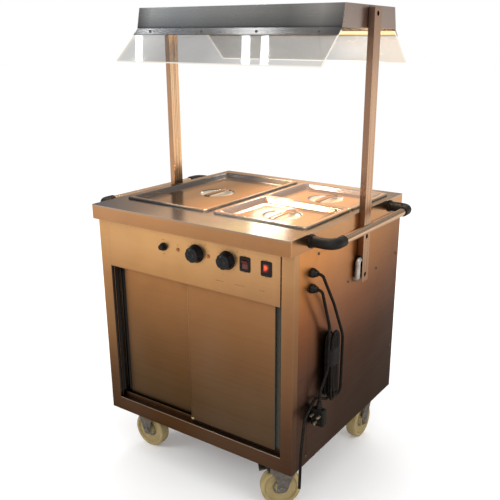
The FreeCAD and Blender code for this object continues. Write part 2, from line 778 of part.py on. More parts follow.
def neon_lamps():
    """Indicator lamps: a domed lens and a body behind the fascia."""
    lamps = []
    for word in ("left_neon", "right_neon"):
        x = cell(word)
        lens = taper(word + "_lens", 6, 4.5, (x, front, line), 3, -ALONG)
        body = rod(word + "_body", 3.9, (x, front, line), 26, ALONG)
        lamps.append(fuse(word + "_lamp", lens, body))
    keep("neon_lamps", group("neon_set", *lamps))


def switch_housings():
    """Rocker switch frames with pivot holes, and the barrel of the reset button."""
    housings = []
    for word in ("left_rocker", "right_rocker"):
        x = cell(word)
        bezel = block(word + "_bezel", (x - 16, x + 16), (front - 3, front), (line - 18, line + 18))
        body = block(word + "_body", (x - 13.5, x + 13.5), (front - 3, front + 28),
                     (line - 14.5, line + 14.5))
        cavity = block(word + "_cavity", (x - 10.5, x + 10.5), (front - 4, front + 20),
                       (line - 13.5, line + 13.5))
        pivot = rod(word + "_pivot", 1.5 + gap, (x - 12.6, front + 3, line), 25.2, ACROSS)
        housings.append(cut(word + "_housing", fuse(word + "_frame", bezel, body), cavity, pivot))
    x = cell("reset_place")
    flange = rod("reset_flange", 12, (x, front - 5, line), 5, ALONG)
    barrel = rod("reset_barrel", 10.4, (x, front, line), 22, ALONG)
    bore = rod("reset_bore", 8.5 + gap, (x, front - 6, line), 25, ALONG)
    housings.append(cut("reset_housing", fuse("reset_case", flange, barrel), bore))
    keep("switch_housings", group("switch_set", *housings))


def rocker(name, word, tilt):
    """Rocker with a shallow V face, resting at one end of its travel."""
    profile = [(-6.6, -12.2), (-3.6, 0.4), (-6.6, 12.2), (2, 10.5), (8, 0.4), (2, -10.5)]
    blade = prism(name + "_blade", "YZ", profile, -10, 10)
    pins = rod(name + "_pins", 1.5, (-12.4, 0, 0), 24.8, ACROSS)
    piece = fuse(name + "_fuse", blade, pins)
    x = cell(word)
    place(piece, (x, front + 3, line), ACROSS, tilt.number)
    bind(piece, "Placement.Rotation.Angle", tilt)
    keep(name, piece)


def rockers():
    """The left rocker rests off, the right one on."""
    rocker("rocker_left", "left_rocker", cell("rocker_tilt"))
    rocker("rocker_right", "right_rocker", -cell("rocker_tilt"))


def reset_button():
    """Push button sliding in its barrel."""
    x = cell("reset_place")
    cap = taper("reset_cap", 8.5, 7.5, (x, front - 13, line), 3, -ALONG)
    stem = rod("reset_stem", 8.5, (x, front - 13, line), 24, ALONG)
    keep("reset_button", fuse("reset_fuse", cap, stem))


def terminal_block():
    """Mains terminals on the inside of the right side panel."""
    strip = block("terminal_strip", (inside - 16, inside), (-190, -110), (735, 757))
    notches = [block("terminal_notch_%d" % i, (inside - 20, inside - 10), (y, y + 3), (730, 760))
               for i, y in enumerate(range(-176, -120, 13))]
    keep("terminal_block", cut("terminal_cut", strip, *notches))


def wiring():
    """Main loom behind the fascia with a drop to each control, heater feeds and the feeds from the glands."""
    rear, run, drop = front.number + 62, 742, 792
    terminals = inside.number - 16
    rods = [sweep(bent_path([Vector(352, -190, run), Vector(352, rear, run), Vector(-110, rear, run)], 8), 4)]
    controls = [("reset_place", 22), ("left_neon", 26), ("left_knob", 32), ("right_neon", 26),
                ("right_knob", 32),
                ("left_rocker", 28), ("right_rocker", 28)]
    for alias, depth in controls:
        x, y = cell(alias).number, front.number + depth
        rods.append(sweep(bent_path([Vector(x, rear, run), Vector(x, rear, drop), Vector(x, y, drop)], 6), 2))
    for x in (-290, 290):
        near, hot = x * 0.37, cell("tank_floor").number - 4.2
        rods.append(sweep(bent_path([Vector(near, rear, run), Vector(near, rear, 717), Vector(x, rear, 717),
                                     Vector(x, rear, hot), Vector(x, -210, hot)], 5), 2))
    floor = cell("liner_floor").number - 8
    rods.append(sweep(bent_path([Vector(318, rear, run), Vector(318, rear, floor), Vector(250, rear, floor),
                                 Vector(250, -230, floor)], 8), 2))
    for z, x, y, end in ((cell("gland_upper").number, 340, -170, 752),
                         (cell("gland_lower").number, 341, -130, 740)):
        gland = cell("gland_front").number
        rods.append(sweep(bent_path([Vector(side.number - 11, gland, z), Vector(x, gland, z),
                                     Vector(x, gland, end),
                                     Vector(x, y, end), Vector(terminals, y, end)], 3), 2.4))
    loom = rods[0]
    for piece in rods[1:]:
        loom = loom.fuse(piece)
    keep("wiring", formed("loom", loom))


# ---------------------------------------------------------------- handles

def handle_elbows():
    """Four moulded elbows that carry the push bars."""
    reach = edge_x + cell("handle_reach")
    height = (top - cell("handle_drop")).number
    far, root = reach.number, cell("handle_half").number
    bar_end = root - 52
    elbows = []
    for sx in SIDES:
        for sy in SIDES:
            path = bent_path([Vector(sx * edge_x.number, sy * root, height),
                              Vector(sx * far, sy * root, height),
                              Vector(sx * far, sy * bar_end, height)], 27)
            elbow = sweep(path, cell("elbow_radius").number)
            foot = Part.makeCylinder(19, 4, Vector(sx * edge_x.number, sy * root, height), Vector(sx, 0, 0))
            socket = Part.makeCylinder(cell("bar_radius").number, 15, Vector(sx * far, sy * bar_end, height),
                                       Vector(0, sy, 0))
            elbows.append(elbow.fuse(foot).cut(socket).removeSplitter())
    keep("handle_elbows", formed("elbows", Part.makeCompound(elbows)))


def handle_bars():
    """The two push bars, seated in the elbows."""
    half = cell("handle_half") - 37
    bars = []
    for word, x in (("left", -edge_x - cell("handle_reach")), ("right", edge_x + cell("handle_reach"))):
        tube = rod("bar_tube_" + word, cell("bar_radius"), (x, -half, top - cell("handle_drop")), half * 2,
                   ALONG)
        bore = rod("bar_bore_" + word, cell("bar_radius") - gauge, (x, -half - 1, top - cell("handle_drop")),
                   half * 2 + 2, ALONG)
        bars.append(cut("bar_" + word, tube, bore))
    keep("handle_bars", group("handle_bar_pair", *bars))


# ---------------------------------------------------------------- gantry

def gantry_posts():
    """Box-section posts outside the cabinet, notched at the foot for the lamp cable."""
    outer = block("post_outer", (post_in, post_out), (post_front, post_back),
                  (cell("post_foot"), cell("hood_top") - 6))
    inner = block("post_inner", (post_in + gauge, post_out - gauge), (post_front + gauge, post_back - gauge),
                  (cell("post_foot") - 1, cell("hood_top") - 6 - gauge))
    notch = block("post_foot_notch", (post_in + gauge, post_out - gauge),
                  (post_front - 1, post_front + gauge + 1),
                  (cell("post_foot") - 1, cell("post_foot") + 85))
    holes = []
    for i, z in enumerate((cell("screw_lower"), cell("screw_upper"), cell("screw_hood"))):
        holes.append(rod("post_access_%d" % i, 7, (post_out - 5, centre_y, z), 10, ACROSS))
        holes.append(rod("post_bore_%d" % i, 4.1, (post_in - 5, centre_y, z), 10, ACROSS))
    right = cut("post_right", outer, inner, notch, *holes)
    keep("gantry_posts", group("gantry_post_pair", right, mirrored("post_left", right)))


def post_screws():
    """Button-head screws with nuts that hold the posts to the cabinet and hood."""
    screws = []
    for i, z in enumerate((cell("screw_lower"), cell("screw_upper"), cell("screw_hood"))):
        head = taper("post_head_%d" % i, 6.5, 4.5, (post_in + gauge, centre_y, z), 4, ACROSS)
        shank = rod("post_shank_%d" % i, 4, (post_in - 10, centre_y, z), 12, ACROSS)
        nut = rod("post_nut_%d" % i, 7, (inside - 6.5, centre_y, z), 6.5, ACROSS)
        right = fuse("post_screw_%d" % i, head, shank, nut)
        screws += [right, mirrored("post_screw_left_%d" % i, right)]
    keep("post_screws", group("post_screw_set", *screws))


def hood_outline(inset):
    """Half the hood's section, from the flange tip up to the crown, moved inwards."""
    crown, waist = cell("hood_crown") - inset, cell("hood_waist") - inset * 1.03
    tip = cell("hood_waist") + cell("flange_out") - inset * 0.68
    return [(tip, cell("hood_knee") - cell("flange_down") - inset * 0.73),
            (waist, cell("hood_knee") - inset * 0.39), (crown, cell("hood_top") - inset)]


def gantry_hood():
    """Folded hood with a glass flange along the front and back, drilled for the glass screws."""
    outer, inner = hood_outline(gauge * 0), hood_outline(gauge)
    profile = [(centre_y - u, v) for u, v in outer] + [(centre_y + u, v) for u, v in reversed(outer)]
    profile += [(centre_y + u, v) for u, v in inner] + [(centre_y - u, v) for u, v in reversed(inner)]
    fold = prism("hood_fold", "YZ", profile, -inside, inside)
    keep("gantry_hood", cut("hood_cut", fold, glass_holes("hood")))


def hood_ends():
    """Trapezoid end caps of the hood, drilled for the posts."""
    crown, waist = cell("hood_crown"), cell("hood_waist")
    profile = [(centre_y - waist, cell("hood_knee")), (centre_y + waist, cell("hood_knee")),
               (centre_y + crown, cell("hood_top")), (centre_y - crown, cell("hood_top"))]
    hole = [(centre_y, cell("screw_hood"), 4.1)]
    ends = [prism("hood_end_right", "YZ", profile, inside, side, circles=hole),
            prism("hood_end_left", "YZ", profile, -side, -inside, circles=hole)]
    keep("hood_ends", group("hood_end_pair", *ends))


def glass_frame(facing):
    """Fold corner, slope direction and outward normal of one glass panel; facing is -1 for the front."""
    out, down = cell("flange_out").number, cell("flange_down").number
    length = math.hypot(out, down)
    corner = Vector(0, centre_y.number + facing * cell("hood_waist").number, cell("hood_knee").number)
    slope = Vector(0, facing * out / length, -down / length)
    normal = Vector(0, facing * down / length, out / length)
    return corner, slope, normal


SCREW_SPACING = (-300, -100, 100, 300)


def glass_screw_spots():
    """Seat and direction of every screw in the hood flanges."""
    spots = []
    for facing in SIDES:
        corner, slope, normal = glass_frame(facing)
        for x in SCREW_SPACING:
            spots.append((corner + slope * 14 + Vector(x, 0, 0), normal))
    return spots


def glass_holes(name):
    """Cutters for the glass screws."""
    holes = [Part.makeCylinder(2.1, 30, seat - normal * 15, normal) for seat, normal in glass_screw_spots()]
    return formed(name + "_screw_holes", Part.makeCompound(holes))


def glass_panels():
    """Two sloping panes clamped under the hood flanges."""
    panes = []
    thick, length, half = cell("glass_thick").number, cell("glass_length").number, inside.number - 1
    for facing in SIDES:
        corner, slope, normal = glass_frame(facing)
        start = corner - normal * gauge.number + slope * 5
        face = [start, start + slope * length, start + slope * length - normal * thick,
                start - normal * thick]
        wire = Part.makePolygon([p + Vector(-half, 0, 0) for p in face + face[:1]])
        panes.append(Part.Face(wire).extrude(Vector(half * 2, 0, 0)))
    blank = formed("glass_blank", Part.makeCompound(panes))
    keep("glass_panels", cut("glass_cut", blank, glass_holes("glass")))


def lamp_reflector():
    """Polished trough above the lamps."""
    low, high = cell("hood_knee") - 3, cell("hood_top") - 22
    outer = [(centre_y - 76, low), (centre_y - 50, high), (centre_y + 50, high), (centre_y + 76, low)]
    inner = [(centre_y + 74.8, low), (centre_y + 49.3, high - 1), (centre_y - 49.3, high - 1),
             (centre_y - 74.8, low)]
    trough = prism("reflector_fold", "YZ", outer + inner, -345, 345)
    hangers = [block("reflector_hanger_%d" % i, (x, x + 30), (centre_y - 30, centre_y + 30),
                     (high - 0.5, cell("hood_top") - gauge)) for i, x in enumerate((-215, 185))]
    cores = [block("hanger_core_%d" % i, (x - 1, x + 31), (centre_y - 28.8, centre_y + 28.8),
                   (high, cell("hood_top") - gauge - 1.2)) for i, x in enumerate((-215, 185))]
    keep("lamp_reflector", cut("reflector_cut", fuse("reflector_whole", trough, *hangers), *cores))


LAMP_ENDS = ((-322, -22), (22, 322))


def quartz_lamps():
    """Two quartz tubes end to end."""
    z = cell("hood_knee") + 12
    tubes = [rod("quartz_%d" % i, 5, (a, centre_y, z), b - a, ACROSS) for i, (a, b) in enumerate(LAMP_ENDS)]
    keep("quartz_lamps", group("quartz_pair", *tubes))


def lamp_holders():
    """Ceramic holders at both ends of each lamp."""
    z = cell("hood_knee") + 12
    roof = cell("hood_top") - 23
    holders = [block("holder_%d" % i, (x, x + 14), (centre_y - 11, centre_y + 11), (z - 9, roof))
               for i, x in enumerate((-336, -22, 8, 322))]
    keep("lamp_holders", group("holder_set", *holders))


def pan_head_screw(seat, normal):
    """One small pan-head screw, its head on the seat."""
    head = Part.makeCone(4.5, 3.2, 2.6, seat, normal)
    shank = Part.makeCylinder(2, 9, seat - normal * 9, normal)
    return head.fuse(shank).removeSplitter()


def pan_head_screws():
    """Identical small screws: eight in the hood flanges, the rest in the side panels."""
    spots = glass_screw_spots()
    for s in SIDES:
        spots += [(Vector(s * side.number, y, z), Vector(s, 0, 0)) for y, z in SIDE_SCREWS]
    keep("pan_head_screws", formed("pan_heads", Part.makeCompound([pan_head_screw(*spot) for spot in spots])))


def lamp_conduit():
    """Sleeve that takes the lamp cable from the right post into the side panel."""
    x = (post_in.number + post_out.number) / 2
    path = bent_path([Vector(x, 46, 737), Vector(x, 22, 737), Vector(x, 22, 676),
                      Vector(side.number, 22, 676)], 9.4)
    keep("lamp_conduit", formed("conduit", sweep(path, 8, 5.5)))


# ---------------------------------------------------------------- mains

def cable_glands():
    """Two glands in the right side panel."""
    glands = []
    y = cell("gland_front")
    for word, z in (("upper", cell("gland_upper")), ("lower", cell("gland_lower"))):
        collar = rod("gland_collar_" + word, 13, (side, y, z), 8, ACROSS)
        dome = taper("gland_dome_" + word, 12, 8, (side + 8, y, z), 11, ACROSS)
        thread = rod("gland_thread_" + word, 9.8, (side - 12, y, z), 12, ACROSS)
        nut = rod("gland_nut_" + word, 13, (inside - 5, y, z), 5, ACROSS)
        bore = rod("gland_bore_" + word, cell("cord_radius") + 0.02, (side - 14, y, z), 40, ACROSS)
        glands.append(cut("gland_" + word, fuse("gland_whole_" + word, collar, dome, thread, nut), bore))
    keep("cable_glands", group("gland_pair", *glands))


def mains_cords():
    """Two cords: one runs through a tied hank and down the side, the other ends in the plug."""
    radius = cell("cord_radius").number
    y, upper, lower = cell("gland_front").number, cell("gland_upper").number, cell("gland_lower").number
    start, outside = side.number - 11, side.number + 33
    lanes = (-122, -133, -144, -155)
    hank_x, hank_low, hank_high = 384, 362, 556
    run = [Vector(start, y, upper), Vector(outside, y, upper), Vector(389, -150, 655), Vector(386, -80, 530),
           Vector(385, -80, 338), Vector(hank_x, lanes[0], 338)]
    bends = [12, 70, 70, 20, 20]
    for i, lane in enumerate(lanes[:-1]):
        turn = hank_high if i % 2 == 0 else hank_low
        run += [Vector(hank_x, lane, turn), Vector(hank_x, lanes[i + 1], turn)]
        bends += [5.4, 5.4]
    run += [Vector(hank_x, lanes[3], 346), Vector(373, -215, 374), Vector(388, -300, 350),
            Vector(388, -316, 250),
            Vector(386, -318, 128)]
    bends += [9, 40, 40, 120]
    plug_x, plug_y = 388.5, -218
    feed = [Vector(start, y, lower), Vector(outside, y, lower), Vector(387, -168, 590),
            Vector(386, -168, 450),
            Vector(plug_x, plug_y, 395), Vector(plug_x, plug_y, 350.1)]
    tie = Part.makeBox(13, 46, 14, Vector(hank_x - 6.5, -161.5, 478))
    tie = tie.cut(Part.makeBox(9.4, 42.4, 16, Vector(hank_x - 4.7, -159.7, 477)))
    cords = [sweep(bent_path(run, bends), radius), sweep(bent_path(feed, [12, 60, 50, 40]), radius)]
    keep("mains_cords", formed("cords", Part.makeCompound(cords + [tie])))


def mains_plug():
    """Hanging plug with three flat pins towards the front."""
    x, y = 388.5, -218
    body = rounded("plug_round", block("plug_body", (x - 22, x + 22), (y - 14, y + 12), (292, 346)), 6,
                   lambda edge: edge.Length > 20)
    grip = taper("plug_grip", 9, 6.5, (x, y, 345), 15)
    bore = rod("plug_bore", cell("cord_radius") + 0.02, (x, y, 350), 20)
    pins = [block("plug_pin_%d" % i, (x + u - w / 2, x + u + w / 2), (y - 31, y - 10), (z - h / 2, z + h / 2))
            for i, (u, w, z, h) in enumerate(((0, 4, 308, 8), (-11.1, 6.3, 330, 4), (11.1, 6.3, 330, 4)))]
    keep("mains_plug", cut("plug_cut", fuse("plug_fuse", body, grip, *pins), bore))


# ---------------------------------------------------------------- castors

def castor_plates():
    """Top plates, each with the fixed half of the swivel head."""
    plates = []
    head = base - 4
    for word, x, y, _ in castor_places():
        half_x, half_y = cell("plate_length") / 2, cell("plate_width") / 2
        plate = prism("castor_plate_" + word, "XY", rectangle(x - half_x, x + half_x, y - half_y, y + half_y),
                      head, base, circles=[(x + dx, y + dy, 4.1) for dx in (-40, 40) for dy in (-30, 30)])
        race = rod("castor_race_" + word, 29, (x, y, head - 8), 8)
        bore = rod("castor_bore_" + word, cell("axle_radius") + gap, (x, y, head - 9), 11)
        plates.append(cut("castor_top_" + word, fuse("castor_head_" + word, plate, race), bore))
    keep("castor_plates", group("castor_plate_set", *plates))


def castor_bolts():
    """Identical bolts with nuts, four to a castor."""
    bolts = []
    low = base.number - 4
    for x, y in bolt_places():
        spot = Vector(x.number, y.number, 0)
        head = Part.makeCylinder(6.5, 5, spot + Vector(0, 0, low - 5))
        shank = Part.makeCylinder(4, 20, spot + Vector(0, 0, low - 1))
        nut = Part.makeCylinder(6.5, 6.5, spot + Vector(0, 0, base.number + gauge.number))
        bolts.append(head.fuse([shank, nut]).removeSplitter())
    keep("castor_bolts", formed("bolts", Part.makeCompound(bolts)))


def put_castor(item, x, y, angle):
    """Moves a castor piece, built about the origin, to its swivel axis."""
    return place(item, (x, y, 0), UP, angle)


def castor_fork(word, x, y, angle, braked):
    """Swivelling fork with kingpin and axle; a braked one has ears for the pedal pin."""
    name = "castor_fork_" + word
    trail, axle_z, axle = cell("castor_trail"), cell("wheel_radius"), cell("axle_radius")
    crown_top = base - 12.5
    ear = trail + 34 if braked else trail - 4
    arm = [(-22, crown_top), (-22, crown_top - 8), (trail - 14, axle_z - 12), (trail + 12, axle_z - 12),
           (trail + 14, axle_z + 34), (ear, crown_top - 26), (ear, crown_top - 4), (ear - 6, crown_top)]
    pedal_hole = [(56, 138, 3 + gap)] if braked else []
    arms = [prism("%s_arm_%d" % (name, i), "XZ", arm, low, low + 4, circles=pedal_hole)
            for i, low in enumerate((as_size(-26.5), as_size(22.5)))]
    crown = rod(name + "_crown", 27, (0, 0, crown_top - 6), 6)
    bridge = block(name + "_bridge", (-20, 24), (-24, 24), (crown_top - 6, crown_top))
    kingpin = rod(name + "_kingpin", axle, (0, 0, crown_top - 2), 10)
    axle_bar = rod(name + "_axle", axle, (trail, -31, axle_z), 62, ALONG)
    heads = [rod("%s_axle_head_%d" % (name, i), 9.5, (trail, low, axle_z), 6, ALONG)
             for i, low in enumerate((-32.5, 26.5))]
    piece = fuse(name + "_fuse", crown, bridge, kingpin, axle_bar, *(arms + heads))
    keep(name, put_castor(piece, x, y, angle))


def castor_wheel(word, x, y, angle):
    """Nylon wheel turned from one profile, standing across its fork."""
    name = "castor_wheel_" + word
    radius, half, bore = cell("wheel_radius"), cell("wheel_width") / 2, cell("axle_radius") + gap
    hub = half + 3.5
    web = half - 7
    profile = [(bore, -hub), (bore + 11, -hub), (bore + 13, -web), (radius - 15, -web), (radius - 11, -half),
               (radius - 3, -half), (radius, 4 - half), (radius, half - 4), (radius - 3, half),
               (radius - 11, half), (radius - 15, web), (bore + 13, web), (bore + 11, hub), (bore, hub)]
    wheel = turned(name + "_turning", profile)
    place(wheel, (cell("castor_trail"), 0, radius), ACROSS, 90)
    keep(name, put_castor(group(name + "_stand", wheel), x, y, angle))


def brake_pedal(word, x, y, angle):
    """Foot pedal on a pin through the fork ears, its shoe just above the tread."""
    name = "brake_pedal_" + word
    lever = [(50, 141), (58, 146), (72, 143), (100, 136), (100, 131), (73, 136), (73, 121), (65, 121),
             (62, 133), (54, 131), (50, 134)]
    blade = prism(name + "_blade", "XZ", lever, -20, 20)
    pin = rod(name + "_pin", 3, (56, -28, 138), 56, ALONG)
    keep(name, put_castor(fuse(name + "_fuse", blade, pin), x, y, angle))


def castors():
    """Four swivel castors; the front pair has brakes."""
    for word, x, y, angle in castor_places():
        braked = word.startswith("f")
        castor_fork(word, x, y, angle, braked)
        castor_wheel(word, x, y, angle)
        if braked:
            brake_pedal(word, x, y, angle)


# ---------------------------------------------------------------- build, test and write

for build in (
    worktop, well_tank, well_divider, pans_and_lids, side_panels, back_panel, base_panel, stiles,
    bottom_rail, head_track, control_panel, cupboard_liner, shelf_runners, cupboard_shelf, insulation,
    heating_elements, doors, thermostats, neon_lamps, switch_housings, rockers, reset_button,
    terminal_block, wiring, handle_elbows, handle_bars, gantry_posts, post_screws, gantry_hood, hood_ends,
    glass_panels, lamp_reflector, quartz_lamps, lamp_holders, pan_head_screws, lamp_conduit, cable_glands,
    mains_cords, mains_plug, castor_plates, castor_bolts, castors,
):
    build()
knob("knob_left", cell("left_knob"))
knob("knob_right", cell("right_knob"))
doc.recompute()

faults = [item.Name for item in doc.Objects if "Invalid" in item.State or "Error" in item.State]
for name, item in subparts.items():
    if item.Shape.isNull() or not item.Shape.isValid() or not item.Shape.Solids:
        faults.append(name + " has no valid solid")
if faults:
    raise RuntimeError("faults: " + ", ".join(faults))

os.makedirs("parts", exist_ok=True)
for old in os.listdir("parts"):
    os.remove(os.path.join("parts", old))
for name, item in subparts.items():
    item.Shape.exportStep("parts/%s.step" % name)
print(len(subparts), "sub-parts written")
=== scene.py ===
import math

import bmesh
import bpy
from mathutils import Matrix, Vector


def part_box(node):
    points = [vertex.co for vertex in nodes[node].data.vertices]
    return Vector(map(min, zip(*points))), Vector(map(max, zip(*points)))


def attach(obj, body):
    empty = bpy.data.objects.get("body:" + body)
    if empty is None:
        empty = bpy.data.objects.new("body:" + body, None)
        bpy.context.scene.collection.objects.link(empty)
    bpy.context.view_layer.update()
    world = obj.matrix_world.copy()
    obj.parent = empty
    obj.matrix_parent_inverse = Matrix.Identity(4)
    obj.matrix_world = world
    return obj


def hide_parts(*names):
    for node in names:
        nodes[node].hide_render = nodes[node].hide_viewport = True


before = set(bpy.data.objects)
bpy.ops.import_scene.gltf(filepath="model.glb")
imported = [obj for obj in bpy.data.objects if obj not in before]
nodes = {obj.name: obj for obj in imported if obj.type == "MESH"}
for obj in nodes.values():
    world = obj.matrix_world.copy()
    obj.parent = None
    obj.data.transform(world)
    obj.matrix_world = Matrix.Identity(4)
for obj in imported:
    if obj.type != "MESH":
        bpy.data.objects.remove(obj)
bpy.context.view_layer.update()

# A mobile hot cupboard with lidded pans in its top and a heated glass gantry. Metres, in the CAD frame.

MM = 0.001
ROOT = "cabinet"


# ------------------------------------------------------------------ node materials

class Graph:
    """The nodes of a material, or of the world, being put together."""

    def __init__(self, name, world=False):
        self.owner = (bpy.data.worlds if world else bpy.data.materials).new(name)
        self.owner.use_nodes = True
        self.tree = self.owner.node_tree
        self.tree.nodes.clear()
        self.output = self.node("OutputWorld" if world else "OutputMaterial")
        self.points = self.node("TexCoord").outputs["Generated" if world else "Object"]
        parts = self.node("SeparateXYZ", {0: self.points})
        self.width, self.depth, self.height = parts.outputs

    def node(self, kind, inputs=None, **settings):
        """Adds a node; inputs are plain values or other nodes' sockets."""
        made = self.tree.nodes.new("ShaderNode" + kind)
        for key, value in settings.items():
            setattr(made, key, value)
        for key, value in (inputs or {}).items():
            if isinstance(value, bpy.types.NodeSocket):
                self.tree.links.new(value, made.inputs[key])
            else:
                made.inputs[key].default_value = value
        return made

    def noise(self, scale, detail=2.0, stretch=(1, 1, 1), rough=0.5):
        """Noise whose cells are stretched along the axes with small numbers."""
        spread = self.node("Mapping", {"Vector": self.points, "Scale": stretch})
        inputs = {"Vector": spread.outputs[0], "Scale": scale, "Detail": detail, "Roughness": rough}
        return self.node("TexNoise", inputs).outputs["Fac"]

    def facing(self, axis):
        """How squarely a face is turned along an axis, either way."""
        parts = self.node("SeparateXYZ", {0: self.node("NewGeometry").outputs["True Normal"]})
        return self.math("ABSOLUTE", parts.outputs[axis])

    def edges(self, reach=0.0012):
        """One along the edges of a piece, nought on its faces."""
        inputs = {0: self.node("Bevel", {"Radius": reach}, samples=3).outputs[0],
                  1: self.node("NewGeometry").outputs["True Normal"]}
        match = self.node("VectorMath", inputs, operation="DOT_PRODUCT").outputs["Value"]
        return self.spread(match, 0.99, 0.86)

    def math(self, operation, a, b=0.0):
        return self.node("Math", {0: a, 1: b}, operation=operation).outputs[0]

    def spread(self, value, low, high, new_low=0.0, new_high=1.0):
        """Maps a range of a value onto another, clamped."""
        inputs = {0: value, 1: low, 2: high, 3: new_low, 4: new_high}
        return self.node("MapRange", inputs).outputs[0]

    def mix(self, factor, a, b, blend="MIX"):
        return self.node("Mix", {0: factor, 6: a, 7: b}, data_type="RGBA", blend_type=blend).outputs[2]

    def ramp(self, factor, stops):
        made = self.node("ValToRGB", {0: factor})
        while len(made.color_ramp.elements) < len(stops):
            made.color_ramp.elements.new(0.5)
        for element, (place, colour) in zip(made.color_ramp.elements, stops):
            element.position = place
            element.color = colour
        return made.outputs[0]

    def bump(self, height, distance, below=None):
        inputs = {"Height": height, "Distance": distance, "Strength": 1.0}
        if below is not None:
            inputs["Normal"] = below
        return self.node("Bump", inputs).outputs[0]

    def principled(self, **inputs):
        named = {key.replace("_", " "): value for key, value in inputs.items()}
        return self.node("BsdfPrincipled", named).outputs[0]

    def done(self, shader):
        self.tree.links.new(shader, self.output.inputs[0])
        return self.owner


def rgb(red, green, blue):
    return (red, green, blue, 1.0)


def steel(name, grain, across, tones, rough=0.30, polish=1.0, crevice=0.05, fade=0.0, along=None, level=None,
          front=None, deepest=0.10, wear=1.0, dish=None):
    """Brushed stainless sheet: streaks along the grain, smears, hair scratches, rubbed edges, and painted
    shade darkening its crevices. across is the direction in which the brushing spreads a highlight; tones
    holds (height, colour) pairs of painted reflection and shade; fade is how much painted shade darkens the
    sheet towards the back; along holds (x, colour) pairs of painted reflection and lamp glare, on the faces
    turned along the level axis if one is given, and front is a painted shade colour for the faces turned to
    the front, both multiplied in; deepest is what the painted shade leaves of the tone in a crevice; wear
    scales the scratches; dish holds the heights between which the sheet gets a painted glow standing for the
    light of the lamps."""
    g = Graph(name)
    fine = tuple(5 if axis == grain else 900 for axis in "XYZ")
    broad = tuple(0.8 if axis == grain else 150 for axis in "XYZ")
    streak = g.noise(1.0, 3.0, fine, 0.6)
    band = g.noise(1.0, 2.0, broad, 0.5)
    smear = g.noise(6.0, 4.0, (1, 1, 1), 0.6)
    scratch = g.spread(g.noise(1.0, 1.0, tuple(9 if axis == grain else 1900 for axis in "XYZ")), 0.70, 0.78)
    edge = g.edges()
    # Tone by height: painted reflection and shade, lighter where the steel mirrors the lit room and darker
    # low down.
    tone = g.ramp(g.spread(g.height, 0.0, 1.5), [(height / 1.5, rgb(*colour)) for height, colour in tones])
    dark = g.mix(0.35, tone, rgb(0.02, 0.015, 0.01))
    pale = g.mix(0.45, tone, rgb(0.95, 0.90, 0.84))
    tone = g.mix(g.spread(streak, 0.3, 0.7, 0.0, 0.10 * wear), tone, dark)
    tone = g.mix(g.spread(band, 0.35, 0.65, 0.0, 0.04), tone, pale)
    tone = g.mix(g.spread(smear, 0.45, 0.75, 0.0, 0.12 + 0.06 * wear), tone, dark)
    cloud = g.noise(1.0, 2.0, (2.4, 2.4, 1.7), 0.45)
    tone = g.mix(g.spread(cloud, 0.40, 0.64, 0.0, 0.16 * wear), tone, pale)
    tone = g.mix(g.math("MULTIPLY", scratch, 0.16 * wear), tone, pale)
    # Painted reflection and lamp glare across the width, multiplied in.
    if along:
        run = g.ramp(g.spread(g.width, -0.4, 0.4), [((x + 0.4) / 0.8, rgb(*colour)) for x, colour in along])
        run = g.mix(1.0, run, rgb(2.0, 2.0, 2.0), "MULTIPLY")
        tone = g.mix(g.spread(g.facing(level), 0.5, 0.8) if level else 1.0, tone, run, "MULTIPLY")
    # Painted shade: the faces turned to the front are darkened by the front colour.
    if front:
        tone = g.mix(g.spread(g.facing("Y"), 0.6, 0.8), tone, g.mix(1.0, tone, rgb(*front), "MULTIPLY"))
    # Painted shade: the sheet gets darker towards the back.
    if fade:
        tone = g.mix(g.spread(g.depth, -0.30, 0.30, 0.0, fade), tone, rgb(0.02, 0.01, 0.008))
    tone = g.mix(g.math("MULTIPLY", edge, 0.35), tone, pale)
    # Painted shade in crevices: where ambient occlusion finds nearby surfaces, the tone is darkened towards
    # near black, down to the share that deepest keeps.
    open_sky = g.node("AmbientOcclusion", {"Distance": crevice}, samples=6).outputs["AO"]
    tone = g.mix(g.spread(open_sky, 0.25, 0.85, deepest, 1.0), rgb(0.012, 0.008, 0.006), tone)
    roughness = g.math("ADD", g.spread(streak, 0.3, 0.7, rough - 0.02, rough + 0.03),
                       g.spread(smear, 0.4, 0.8, -0.02, 0.06))
    normal = g.bump(streak, 0.00002 * polish)
    normal = g.bump(g.noise(2.2, 2.0), 0.0010 * polish, normal)
    tangent = g.node("CombineXYZ", {0: across[0], 1: across[1], 2: across[2]}).outputs[0]
    # Painted glow on the lid's finger dish, standing for the light of the lamps.
    painted_lamp_glow = g.spread(g.height, dish[0], dish[1], 0.0, 0.40) if dish else 0.0
    return g.done(g.principled(Base_Color=tone, Metallic=1.0, Roughness=roughness, Normal=normal,
                               Anisotropic=0.62, Tangent=tangent, Emission_Color=rgb(1.0, 0.84, 0.62),
                               Emission_Strength=painted_lamp_glow))


def plated(name, colour, rough=0.42):
    """Zinc-plated steel: soft mottling, patchy grime and rubbed edges."""
    g = Graph(name)
    mottle = g.noise(55.0, 4.0)
    grime = g.noise(260.0, 3.0)
    edge = g.edges()
    tone = g.mix(g.spread(mottle, 0.35, 0.7), colour, rgb(*[c * 0.62 for c in colour[:3]]))
    tone = g.mix(g.spread(grime, 0.52, 0.70, 0.0, 0.6), tone, rgb(0.06, 0.05, 0.04))
    tone = g.mix(g.math("MULTIPLY", edge, 0.6), tone, rgb(0.75, 0.73, 0.68))
    roughness = g.spread(mottle, 0.3, 0.7, rough, rough + 0.2)
    normal = g.bump(grime, 0.0002)
    return g.done(g.principled(Base_Color=tone, Metallic=0.85, Roughness=roughness, Normal=normal))


